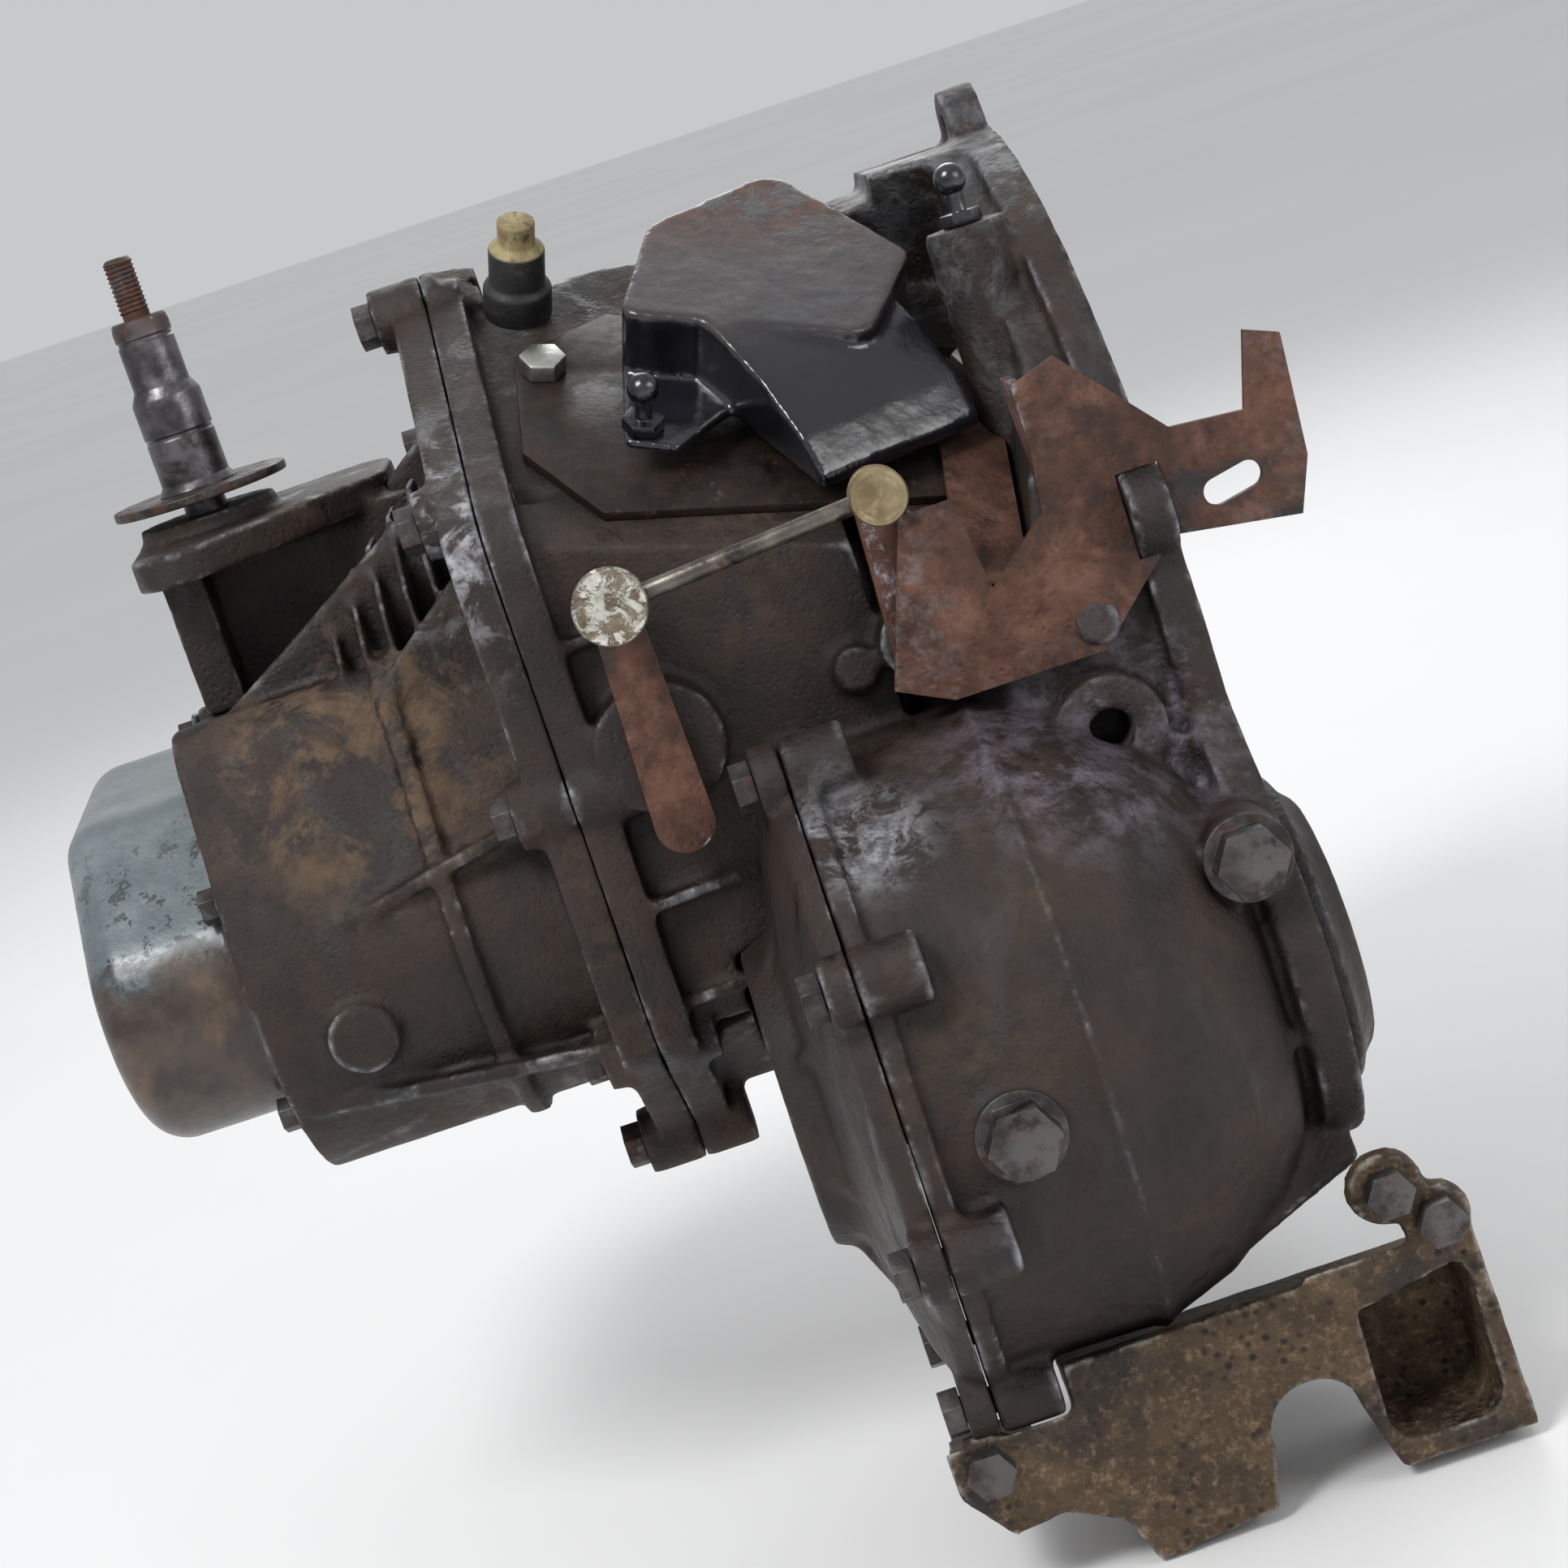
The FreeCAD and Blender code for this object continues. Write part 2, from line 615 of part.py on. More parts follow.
def radial_rib(angle, start, end, thick):
    """Rib in a plane through the final-drive axis, from (x, radius) to (x, radius)."""
    (x1, r1), (x2, r2) = start, end
    rib = plate([(x1, 20), (x2, 20), (x2, r2), (x1, r1)], thick, (0, DIFF_Y, DIFF_Z), "XZ_Plane")
    spin = Rotation(Vector(1, 0, 0), angle - 90)
    shift = spin.multVec(Vector(0, thick / 2, 0))
    rib.Placement = Placement(Vector(0, DIFF_Y.value, DIFF_Z.value) + shift, spin)
    return rib


def bolt_ring(count, start, radius, axis):
    """Centres evenly round a circle."""
    spots = []
    for index in range(count):
        angle = math.radians(start + 360 * index / count)
        spots.append((axis[0] + radius * math.cos(angle), axis[1] + radius * math.sin(angle)))
    return spots


def bell_rib(angle):
    """Thin web along the outside of the bell, in a plane through the input axis."""
    outer = SIZE["bell_outer"]
    rib = plate([(-140, 60), (-8, 60), (-8, outer + 5), (-54, outer + 3), (-112, 96), (-140, 66)], 5,
                (0, 0, 0), "XZ_Plane")
    spin = Rotation(Vector(1, 0, 0), angle - 90)
    rib.Placement = Placement(spin.multVec(Vector(0, 2.5, 0)), spin)
    return rib


ENGINE_BOLTS = bolt_ring(5, 90, SIZE["bolt_circle"], INPUT)
BRACKET_BOLTS = [(-4, -150), (8, -163), (-137, -193)]
DOWELS = [(157 * math.cos(math.radians(angle)), 157 * math.sin(math.radians(angle)))
          for angle in (68, 248)]
JOINT_BOLTS = [(-14, 165), (-118, 108), (-142, 20), (-128, -62), (-82, -106), (-10, -75.5), (63, -24),
               (42, 62), (14, 120)]
BALL_BOSS = (-26, -94, 141)
FINAL_BOLTS = bolt_ring(8, 15, 104, FINAL)[2:]
COVER_BOLTS = [(32, 49), (55, -20), (-34, -62), (-104, -54), (-107, 17), (-34, 58)]


def clutch_housing():
    """Bell, flange, middle gearbox section and the right side of the final-drive casing."""
    outer = SIZE["bell_outer"]
    straight = -SIZE["bell_straight"]
    back = -(SIZE["bell_depth"] + 9)
    thick = SIZE["flange_thick"]
    joint = -SIZE["joint_x"]
    bell = turned([(back, 0), (back, 104), (-88, 124), (straight, outer - 2), (0, outer),
                   (0, 0)], (0, 0, 0))
    flange = cylinder(outer + 7, thick, (-thick, 0, 0))
    ears = [cylinder(SIZE["ear_outer"], thick, (-thick, y, z)) for y, z in ENGINE_BOLTS]
    skirt = wrap([(0, 0, 120), (DIFF_Y, DIFF_Z, 62)], thick, (-thick, 0, 0))
    pad_top = wrap([(12, 150, 12), (-34, 150, 12), (-34, 110, 12), (12, 110, 12)], 32, (-45, 0, 0))
    middle = wrap(MIDDLE_OUTLINE, SIZE["joint_x"] - 90, (joint, 0, 0))
    joint_flange = wrap(grown(MIDDLE_OUTLINE, 9), SIZE["joint_thick"], (joint, 0, 0))
    lobes = [cylinder(11, SIZE["joint_thick"] + 6, (joint, y, z)) for y, z in JOINT_BOLTS]
    drum = turned([(-SIZE["final_joint"], 0), (-SIZE["final_joint"], SIZE["drum_outer"]),
                   (-SIZE["ridge_x"] - 3, SIZE["drum_outer"] + 1),
                   (-SIZE["ridge_x"], SIZE["drum_outer"] + 3),
                   (-SIZE["ridge_x"] + 3, SIZE["drum_outer"] + 0.5),
                   (-50, 90), (-32, 78), (-20, 64), (-14, 50), (0, 48), (0, 0)], (0, DIFF_Y, DIFF_Z))
    ring = cylinder(102, 7, (-SIZE["final_joint"], DIFF_Y, DIFF_Z))
    bosses = [cylinder(10.5, 20, (-SIZE["final_joint"], y, z)) for y, z in FINAL_BOLTS]
    rib_ends = ((148, -34, 62), (233, -6, 72), (100, -6, 70), (275, -6, 66), (190, -6, 52))
    ribs = [radial_rib(angle, (-72, 98), (x, reach), 6) for angle, x, reach in rib_ends]
    hole_boss = cylinder(17, 34, (-36, -170, -6), "y")
    plug_boss = cylinder(14, 16, (-100, -248, -86), "y")
    stud_boss = cylinder(13, 28, (BALL_BOSS[0], BALL_BOSS[1], BALL_BOSS[2] - 28), "z")
    corner_boss = cylinder(13, 40, (-14, -206, -44), "y")
    pivots = [cylinder(radius, 45, (x, LEVER_Y + 0.4, z), "y")
              for (x, z), radius in ((LEVER_HUB, 20), (CRANK_HUB, 12))]
    bell_ribs = [bell_rib(angle) for angle in (70, 45, 20, -8, -35, -62, -90, -118, 128, 152, 183)]
    return join(bell, flange, *ears, skirt, pad_top, middle, joint_flange, *lobes, drum, ring, *bosses,
                *ribs, *bell_ribs, hole_boss, stud_boss, corner_boss, plug_boss, *pivots)


def clutch_housing_hollows():
    """Tools in three stages: the chambers, then what opens out of them, then the small holes."""
    outer = SIZE["bell_outer"]
    wall = SIZE["bell_wall"]
    straight = -SIZE["bell_straight"]
    joint = -SIZE["joint_x"]
    thick = SIZE["flange_thick"]
    clutch_space = turned([(straight, 0), (straight, 110), (-30, 110), (-30, 124), (1, 124), (1, 0)],
                          (0, 0, 0))
    bell_space = turned([(-92, 0), (-92, 96), (-84, 112), (straight, outer - wall - 2),
                         (1, outer - wall), (1, 0)], (0, 0, 0))
    drum_keep = join(cylinder(98, 63, (-140, DIFF_Y, DIFF_Z)),
                     cylinder(68, 120, (-120, DIFF_Y, DIFF_Z)),
                     cylinder(38, 30, (-98, OUT_Y, OUT_Z)))
    crank_pivot = cylinder(12, 60, (CRANK_HUB[0], LEVER_Y, CRANK_HUB[1]), "y")
    gear_space = wrap(grown(MIDDLE_OUTLINE, -WALL), SIZE["joint_x"] - 105, (joint - 1, 0, 0))
    fork_window = box((40, 60, 50), (-98, 112, -25))
    front_input = cylinder(26 + GAP, 16, (-107, 0, 0))
    nose = cylinder(14, 40, (-110, 0, 0))
    front_output = cylinder(31 + GAP, 39, (-110, OUT_Y, OUT_Z))
    drum_space = turned([(-131, 0), (-131, SIZE["drum_inner"]), (-86, SIZE["drum_inner"]), (-84, 56),
                         (-48, 56), (-46, 36), (-30, 36), (-30, SIZE["output_bore"]),
                         (1, SIZE["output_bore"]), (1, 0)], (0, DIFF_Y, DIFF_Z))
    rail = cylinder(SIZE["rail_radius"], 20, (-112, RAIL[0], RAIL[1]))
    engine_holes = [cylinder(SIZE["bolt_hole"], thick + 60, (-thick - 59, y, z)) for y, z in ENGINE_BOLTS]
    joint_holes = [cylinder(4, 30, (joint - 1, y, z)) for y, z in JOINT_BOLTS]
    final_holes = [cylinder(4, 18, (-SIZE["final_joint"] - 1, y, z)) for y, z in FINAL_BOLTS]
    blind = cylinder(6.5, 20, (-36, -171, -6), "y")
    plug_holes = [cylinder(8, 40, (-14, -209, -44), "y"), cylinder(8, 22, (-100, -250, -86), "y")]
    plug_seat = cylinder(14.2, 20, (-14, -226, -44), "y")
    dowel_holes = [cylinder(6, 12, (-9, y, z)) for y, z in DOWELS]
    pivot_holes = [cylinder(PIVOT_RADIUS + GAP, 32, (x, LEVER_Y - 1, z), "y")
                   for x, z in (LEVER_HUB, CRANK_HUB)]
    hub_seat = cylinder(FINAL_HUB, 33, (-SIZE["final_joint"] - 32, DIFF_Y, DIFF_Z))
    return ([cut(bell_space, drum_keep, roof(), crank_pivot), cut(clutch_space, roof()),
             cut(gear_space, roof()), front_input, nose, front_output],
            [drum_space, rail, fork_window],
            [*engine_holes, *joint_holes, *final_holes, blind, *dowel_holes, *plug_holes, *pivot_holes,
             plug_seat, hub_seat])


def roof():
    """The space above the deck's wall, which the chambers below it leave alone."""
    return deck(box((190, 260, 90), (0, 0, 0)), -105, -100, -DECK_WALL)


def deck_cylinder(radius, length, u, v, height):
    """Cylinder along the deck's normal."""
    return deck(cylinder(radius, length, (0, 0, 0), "z"), u, v, height)


def deck_tools():
    """What lies above the selector deck, the selector shaft's hole and the bolt holes."""
    above = join(deck(box((177, 178, 90), (0, 0, 0)), -105, -100, 0),
                 deck(box((129, 195, 90), (0, 0, 0)), -105, -100, 0))
    keep_flange = cylinder(200, 30, (-25, 0, 0))
    keep_boss = cylinder(13, 80, (BALL_BOSS[0], BALL_BOSS[1], BALL_BOSS[2] - 80), "z")
    keep_joint = wrap(grown(MIDDLE_OUTLINE, 12), SIZE["joint_thick"] + 0.01, (-SIZE["joint_x"], 0, 0))
    holes = [deck_cylinder(4, 9, u, v, -8) for u, v in DECK_BOLTS]
    return [cut(above, keep_flange, keep_boss, keep_joint), deck_cylinder(10, 90, 0, 12, -70), *holes]


CASING_OUTLINE = [(0, 0, 58), (RAIL[0], RAIL[1], 18), (OUT_Y, OUT_Z, 66)]
FINAL_HUB = 46
END_OUTLINE = [(0, 0, 52), (END_ROD[0], END_ROD[1], 14), (OUT_Y, OUT_Z, 43)]


def casings():
    shell = clutch_housing()
    for tools in (*clutch_housing_hollows(), *[[tool] for tool in deck_tools()]):
        shell = cut(shell, *tools)
    keep("clutch_housing", shell)
    end = -SIZE["casing_end"]
    length = SIZE["casing_end"] - SIZE["joint_x"]
    lobes = [cylinder(11, SIZE["joint_thick"] + 6, (-SIZE["joint_x"] - SIZE["joint_thick"] - 6, y, z))
             for y, z in JOINT_BOLTS]
    solid = join(*casing_skin(), *lobes, *cover_lobes())
    cavity = wrap(grown(CASING_OUTLINE, -WALL), length - 39, (end + 40, 0, 0))
    recess = wrap(grown(END_OUTLINE, 1), 16.3, (end - 1, 0, 0))
    bores = [cylinder(26 + GAP, 30, (-287, 0, 0)), cylinder(31 + GAP, 30, (-287, OUT_Y, OUT_Z)),
             cylinder(14, 10, (-292, 0, 0)), cylinder(18, 10, (-292, OUT_Y, OUT_Z)),
             cylinder(SIZE["rail_radius"], 10, (-274, RAIL[0], RAIL[1])),
             cylinder(6 + GAP, 40, (-300, END_ROD[0], END_ROD[1]))]
    idler = idler_axis()
    bores.append(cylinder(7, 5, (-291, idler[0], idler[1])))
    holes = [cylinder(4, 30, (-SIZE["joint_x"] - 29, y, z)) for y, z in JOINT_BOLTS]
    holes += [cylinder(3, 14, (end - 1, y, z)) for y, z in COVER_BOLTS]
    keep("gear_casing", cut(solid, cavity, recess, *bores, *holes))


def cover_lobes():
    return [cylinder(9, 16, (-SIZE["casing_end"], y, z)) for y, z in COVER_BOLTS]


def casing_skin():
    """Outer walls of the gear casing: body, end rim, joint flange, collar and top ribs."""
    end = -SIZE["casing_end"]
    thick = SIZE["joint_thick"]
    body = wrap(CASING_OUTLINE, SIZE["casing_end"] - SIZE["joint_x"], (end, 0, 0))
    rim = wrap(grown(END_OUTLINE, 9), 8, (end, 0, 0))
    flange = wrap(grown(MIDDLE_OUTLINE, 9), thick, (-SIZE["joint_x"] - thick, 0, 0))
    collar = wrap(grown(CASING_OUTLINE, 4), 6, (-240, 0, 0))
    ribs = [plate([(-300, 30), (-204, 30), (-204, height), (-300, 62)], 5, (0, y, 0), "XZ_Plane")
            for y, height in ((-20, 130), (-80, 118), (26, 96))]
    return [body, rim, flange, collar, *ribs]


def end_cover():
    end = -SIZE["casing_end"]
    length = SIZE["cover_end"] - SIZE["casing_end"]
    wall = SIZE["cover_wall"]
    outline = END_OUTLINE
    shell = wrap(outline, length, (-SIZE["cover_end"], 0, 0))
    doc.recompute()
    rounded = doc.addObject("Part::Fillet", "rounded_cover")
    rounded.Base = shell
    rounded.Edges = [(index + 1, 13, 13) for index, edge in enumerate(shell.Shape.Edges)
                     if edge.BoundBox.XMax < -SIZE["cover_end"].value + 0.1]
    lip = wrap(grown(outline, 9), 2.5, (end - 2.5, 0, 0))
    lobes = [cylinder(8, 2.5, (end - 2.5, y, z)) for y, z in COVER_BOLTS]
    inside = wrap(grown(outline, -wall), length - wall + 1, (-SIZE["cover_end"] + wall, 0, 0))
    doc.recompute()
    rounded_inside = doc.addObject("Part::Fillet", "rounded_inside")
    rounded_inside.Base = inside
    rounded_inside.Edges = [(index + 1, 10.5, 10.5) for index, edge in enumerate(inside.Shape.Edges)
                            if edge.BoundBox.XMax < (-SIZE["cover_end"] + wall).value + 0.1]
    holes = [cylinder(3, 8, (end - 6, y, z)) for y, z in COVER_BOLTS]
    keep("end_cover", cut(join(rounded, lip, *lobes), rounded_inside, *holes))


def final_covers():
    joint = -SIZE["final_joint"]
    dome = turned([(joint - 30, 0), (joint - 30, 46), (joint - 20, 50), (joint - 12, 84), (joint - 7, 97),
                   (joint, 102), (joint, 0)], (0, DIFF_Y, DIFF_Z))
    bosses = [cylinder(10.5, 9, (joint - 9, y, z)) for y, z in FINAL_BOLTS]
    ribs = [radial_rib(15 + 45 * index, (joint - 24, 48), (joint - 1, 98), 5) for index in range(8)]
    inside = turned([(joint - 4, 0), (joint - 4, 84), (joint + 1, 84), (joint + 1, 0)],
                    (0, DIFF_Y, DIFF_Z))
    seat = turned([(joint - 31, 0), (joint - 31, 25), (joint - 20, 25), (joint - 20, 36), (joint + 1, 36),
                   (joint + 1, 0)], (0, DIFF_Y, DIFF_Z))
    holes = [cylinder(4, 20, (joint - 12, y, z)) for y, z in FINAL_BOLTS]
    gearbox = cut(wrap(MIDDLE_OUTLINE, 40, (joint - 35, 0, 0)),
                  cylinder(FINAL_HUB, 50, (joint - 40, DIFF_Y, DIFF_Z)))
    keep("differential_cover", cut(join(dome, *bosses, *ribs), inside, seat, gearbox, *holes))
    housing = turned([(0, 25), (12, 25), (12, 38), (8, 42), (5, 48), (0, 48)],
                     (0, DIFF_Y, DIFF_Z))
    keep("output_housing", housing)


def bearings():
    keep("input_bearings", group(*bearing(-106, 14, 12.4, 26, INPUT), *bearing(-286, 18, 12.4, 26, INPUT)))
    keep("output_bearings", group(*bearing(-90, 16, 15, 31, OUTPUT), *bearing(-286, 18, 15, 31, OUTPUT)))
    keep("differential_bearings", group(*bearing(-146, 16, 20, 36, FINAL),
                                        *bearing(-43.5, 13, 20, 36, FINAL)))
    seals = [tube(25, 17, 7, (-158, DIFF_Y, DIFF_Z)), tube(25, 17, 7, (3, DIFF_Y, DIFF_Z))]
    keep("output_seals", group(*seals))


# ---------------------------------------------------------------- brackets and mount

def brackets():
    mount_plate = wrap([(-236, 16, 14), (-288, 6, 20), (-288, -62, 16), (-236, -20, 14)], 11,
                       (0, 0, 110), "XY_Plane")
    pillar = box((14, 30, 62), (-300, -48, 52))
    arm = plate([(-290, 58), (-204, 74), (-204, 112), (-228, 114), (-290, 114)], 10, (0, -24, 0),
                "XZ_Plane")
    cup = cylinder(14, 50, (-236, 2, 66), "z")
    hub = cylinder(23, 16, (-281, -22, 110), "z")
    keep("mount_bracket", cut(join(mount_plate, pillar, arm, cup, hub),
                              cylinder(7, 90, (-281, -22, 60), "z"),
                              *casing_skin(), *cover_lobes()))
    stud = turned([(-34, 0), (-34, 7), (0, 7), (0, 13), (4, 13), (6, 11.5), (34, 11.5), (37, 9.5), (57, 9.5),
                   (60, 9), (60, 5), (78, 5), (80, 4), (80, 0)], (-281, -22, 131),
                  Rotation(Vector(0, 1, 0), -90))
    keep("mount_stud", stud)
    keep("mount_washer", tube_z(29, 13.05, 3, (-281, -22, 131)))
    lower_bracket()
    cable_bracket()


def tube_z(outer, inner, length, at):
    start = (at[0], at[1], at[2] - 1)
    return cut(cylinder(outer, length, at, "z"), cylinder(inner, length + 2, start, "z"))


def lower_bracket():
    """Cast bracket below the final drive, with its square window."""
    corners = [(-150, -134), (-128, -134), (-122, -170), (-36, -170), (-12, -140), (16, -140),
               (20, -234), (-22, -234), (-30, -208), (-54, -208), (-60, -234), (-98, -238), (-104, -222),
               (-120, -214), (-136, -216), (-148, -200)]
    body = plate(corners, 52, (0, -158, 0), "XZ_Plane")
    drum = cylinder(SIZE["drum_outer"] + 3.6, 150, (-126, DIFF_Y, DIFF_Z))
    cover = cylinder(SIZE["drum_outer"] + 18, 42, (-150.5, DIFF_Y, DIFF_Z))
    window = wrap([(4, -218, 8), (4, -184, 8), (-14, -184, 8), (-14, -218, 8)], 34, (0, -176.5, 0),
                  "XZ_Plane")
    notch = cylinder(14, 70, (-42, -215, -213), "y")
    hollow = wrap([(-44, -222, 5), (-44, -196, 5), (-116, -196, 5), (-116, -206, 5)], 30,
                  (0, -150, 0), "XZ_Plane")
    holes = [cylinder(4, 60, (x, -212, z), "y") for x, z in BRACKET_BOLTS]
    keep("lower_bracket", cut(body, drum, cover, window, notch, hollow, *holes))


def cable_bracket():
    """Pressed bracket that holds the shift cables: an upright face, a fold and a foot on the deck."""
    metal = SIZE["sheet_metal"]
    face = plate([(-76, 16), (-30, 16), (-2, 42), (36, 36), (42, 52), (44, 88), (34, 92), (28, 70), (6, 72),
                  (-20, 102), (-32, 98), (-36, 60), (-56, 44), (-60, 72), (-76, 72), (-92, 24)],
                 metal, (0, BRACKET_Y, 0), "XZ_Plane")
    slot = wrap([(24, 52, 4), (14, 50, 4)], 10, (0, BRACKET_Y + 4, 0), "XZ_Plane")
    fold = plate([(-34, 20), (-31, 20), (-31, 98), (-34, 98)], 24, (0, BRACKET_Y + 21, 0), "XZ_Plane")
    bell = cylinder(SIZE["bell_outer"] + 6.5, 60, (-60, 0, 0))
    foot = deck(box((20, 112, 3), (0, 0, 0)), 50, -86, 3)
    beyond = box((85, 60, 80), (-80, BRACKET_Y - metal - 60, 10))
    ear = cylinder(SIZE["ear_outer"], SIZE["flange_thick"], (-SIZE["flange_thick"], *ENGINE_BOLTS[1]))
    flange = cylinder(SIZE["bell_outer"] + 7, SIZE["flange_thick"], (-SIZE["flange_thick"], 0, 0))
    boss = cylinder(13.5, 90, (BALL_BOSS[0], BALL_BOSS[1], BALL_BOSS[2] - 90), "z")
    bolt_hole = deck_cylinder(4, 12, *DECK_BOLTS[1], -2)
    keep("cable_bracket", cut(join(face, cut(fold, bell), foot), slot, bolt_hole, beyond, ear, flange,
                              boss))


# ---------------------------------------------------------------- shift and clutch parts

WEIGHT_LOW = 11.0
WEIGHT_TOP = 37.0
APRON_TURN = 33.0


def selector():
    """Deck plate, selector shaft, black weight, ball studs and switch."""
    panel = plate([(-79, 32), (-76, -20), (-52, -50), (58, -42), (62, -30), (62, 6), (72, 12), (72, 34),
                   (-50, 56)], 3,
                  (0, 0, 0), "XY_Plane")
    panel.Placement = on_deck(0, 0, 0)
    holes = [deck_cylinder(4, 6, u, v, -1) for u, v in DECK_BOLTS]
    keep("selector_plate", cut(panel, deck_cylinder(10, 20, 0, 12, -8), *holes))
    keep("selector_shaft", deck_cylinder(9.9, 96, 0, 12, -62))
    weight = wrap([(36, 38, 8), (2, 74, 10), (-28, 50, 10), (-40, 10, 6), (22, 4, 10)],
                  WEIGHT_TOP - WEIGHT_LOW, (0, 0, 0), "XY_Plane")
    weight.Placement = on_deck(0, 0, WEIGHT_LOW)
    apron = plate([(-50, WEIGHT_LOW), (20, WEIGHT_LOW), (20, WEIGHT_TOP), (6, WEIGHT_TOP),
                   (-18, WEIGHT_LOW + 21), (-38, WEIGHT_LOW + 13), (-50, WEIGHT_LOW + 5)], 60, (0, 0, 0))
    apron.Placement = on_deck(0, 0, 0, Rotation(Vector(0, 0, 1), APRON_TURN)) \
        .multiply(Placement(Vector(-18, 0, 0), Rotation()))
    wing = plate([(-46, 12), (-46, -30), (-30, -34), (-8, -8), (-8, 12)], 4, (0, 0, 0), "XY_Plane")
    wing.Placement = on_deck(0, 0, WEIGHT_LOW)
    hole = deck_cylinder(9.95, 34.3, 0, 12, 0)
    keep("selector_weight", cut(join(weight, wing, apron), hole))
    keep("gear_ball_stud", ball_stud(on_deck(-40, -24, WEIGHT_LOW + 4)))
    outside = Placement(Vector(*BALL_BOSS), Rotation())
    inside = Placement(Vector(-92, 70, 0), TURN["x"])
    keep("fixed_ball_studs", group(ball_stud(outside), ball_stud(inside)))
    switch = turned([(0, 0), (0, 11), (10, 11), (12, 9), (24, 9), (26, 6), (34, 6), (34, 0)], (0, 0, 0))
    switch.Placement = on_deck(-78, 62, 0, Rotation(Vector(0, 1, 0), -90))
    keep("reverse_light_switch", switch)


def ball_stud(place):
    """Ball on a short neck with a hexagon, standing on its placement's Z."""
    base = doc.addObject("Part::Prism", "hexagon")
    base.Polygon = 6
    base.Circumradius = 6.5
    base.Height = 4
    neck = doc.addObject("Part::Cylinder", "neck")
    neck.Radius = 2.6
    neck.Height = 12
    sphere = doc.addObject("Part::Sphere", "ball")
    sphere.Radius = 5
    base.Placement = place
    neck.Placement = place
    sphere.Placement = place.multiply(Placement(Vector(0, 0, 14), Rotation()))
    return join(base, neck, sphere)


def linkage():
    """Select lever, link rod with its sockets, and the bellcrank."""
    arm = SIZE["lever_arm"]
    ball_y = LEVER_Y - 17
    ends = []
    for name, (x, z), tail in (("select_lever", LEVER_HUB, 22), ("bellcrank", CRANK_HUB, 2)):
        bar = wrap([(x, z - tail, 9), (x, z + arm, 7)], 6, (0, LEVER_Y, 0), "XZ_Plane")
        pin = cylinder(PIVOT_RADIUS, 26, (x, LEVER_Y, z), "y")
        stud = cylinder(4, 8, (x, LEVER_Y - 14, z + arm), "y")
        keep(name, join(bar, pin, stud))
        ends.append(Vector(x, ball_y, z + number(arm)))
    start, finish = ends
    run = finish - start
    rod = doc.addObject("Part::Cylinder", "rod")
    rod.Radius = 2.8
    rod.Height = run.Length - 12
    rod.Placement = Placement(start + run * (6 / run.Length), Rotation(Vector(0, 0, 1), run))
    keep("link_rod", rod)
    sockets = []
    for end, radius in ((start, 11), (finish, 8.5)):
        cap = cylinder(radius, 12, (end.x, ball_y - 6.5, end.z), "y")
        bore = cylinder(4 + GAP, 12, (end.x, ball_y + 1, end.z), "y")
        sockets.append(cut(cap, bore, rod))
    keep("rod_sockets", group(*sockets))


def clutch_parts():
    """Release bearing on its guide tube, and the fork that pushes it."""
    keep("release_guide_tube", turned([(-92, 14), (-50, 14), (-50, 16.5), (-86, 16.5), (-86, 30), (-92, 30)],
                                      (0, 0, 0)))
    keep("release_bearing", turned([(-83, 16.55), (-54, 16.55), (-54, 34), (-62, 34), (-62, 22), (-79, 22),
                                    (-79, 30), (-83, 30)], (0, 0, 0)))
    arm = wrap([(0, 0, 30), (170, 0, 9)], 5, (-73.5, 0, 0))
    mouth = box((9, 46, 45), (-75, -40, -22.5))
    keep("clutch_fork", cut(arm, mouth, cylinder(22.5, 9, (-75, 0, 0)), ball(5.4, (-78, 70, 0))))


def fasteners():
    joint = -SIZE["joint_x"]
    reach = SIZE["joint_thick"] + 6
    bolts = []
    for y, z in JOINT_BOLTS:
        head = hexagon(13, 6, (joint - reach - 6, y, z))
        bolts.append(join(head, cylinder(4, 30, (joint - reach, y, z))))
    final = -SIZE["final_joint"]
    for y, z in FINAL_BOLTS:
        head = hexagon(13, 6, (final - 15, y, z))
        bolts.append(join(head, cylinder(4, 24, (final - 9, y, z))))
    end = -SIZE["casing_end"]
    for y, z in COVER_BOLTS:
        head = hexagon(10, 5, (end - 7.5, y, z))
        bolts.append(join(head, cylinder(3, 15, (end - 2.5, y, z))))
    for x, z in BRACKET_BOLTS:
        head = hexagon(13, 6, (x, -216, z), "y")
        bolts.append(join(head, cylinder(4, 16, (x, -210, z), "y")))
    keep("casing_bolts", group(*bolts))
    plugs = []
    for x, y, z in ((-14, -216, -44), (-100, -258, -86)):
        plugs.append(join(hexagon(19, 8, (x, y, z), "y"), cylinder(8, 9, (x, y + 8, z), "y"),
                          cylinder(13, 2, (x, y + 8, z), "y")))
    keep("oil_plugs", group(*plugs))
    keep("dowels", group(*[cut(cylinder(6, 16, (-9, y, z)), cylinder(4, 20, (-11, y, z)))
                           for y, z in DOWELS]))
    bright = []
    for (u, v), level in zip(DECK_BOLTS, (3, 6)):
        head = deck(hexagon(13, 6, (0, 0, 0), "z"), u, v, level)
        bright.append(join(head, deck_cylinder(4, level + 8, u, v, -8)))
    keep("selector_bolts", group(*bright))


def main():
    input_side()
    output_side()
    reverse_train()
    forks()
    differential()
    casings()
    end_cover()
    final_covers()
    bearings()
    brackets()
    selector()
    linkage()
    clutch_parts()
    fasteners()
    doc.recompute()
    write_parts()


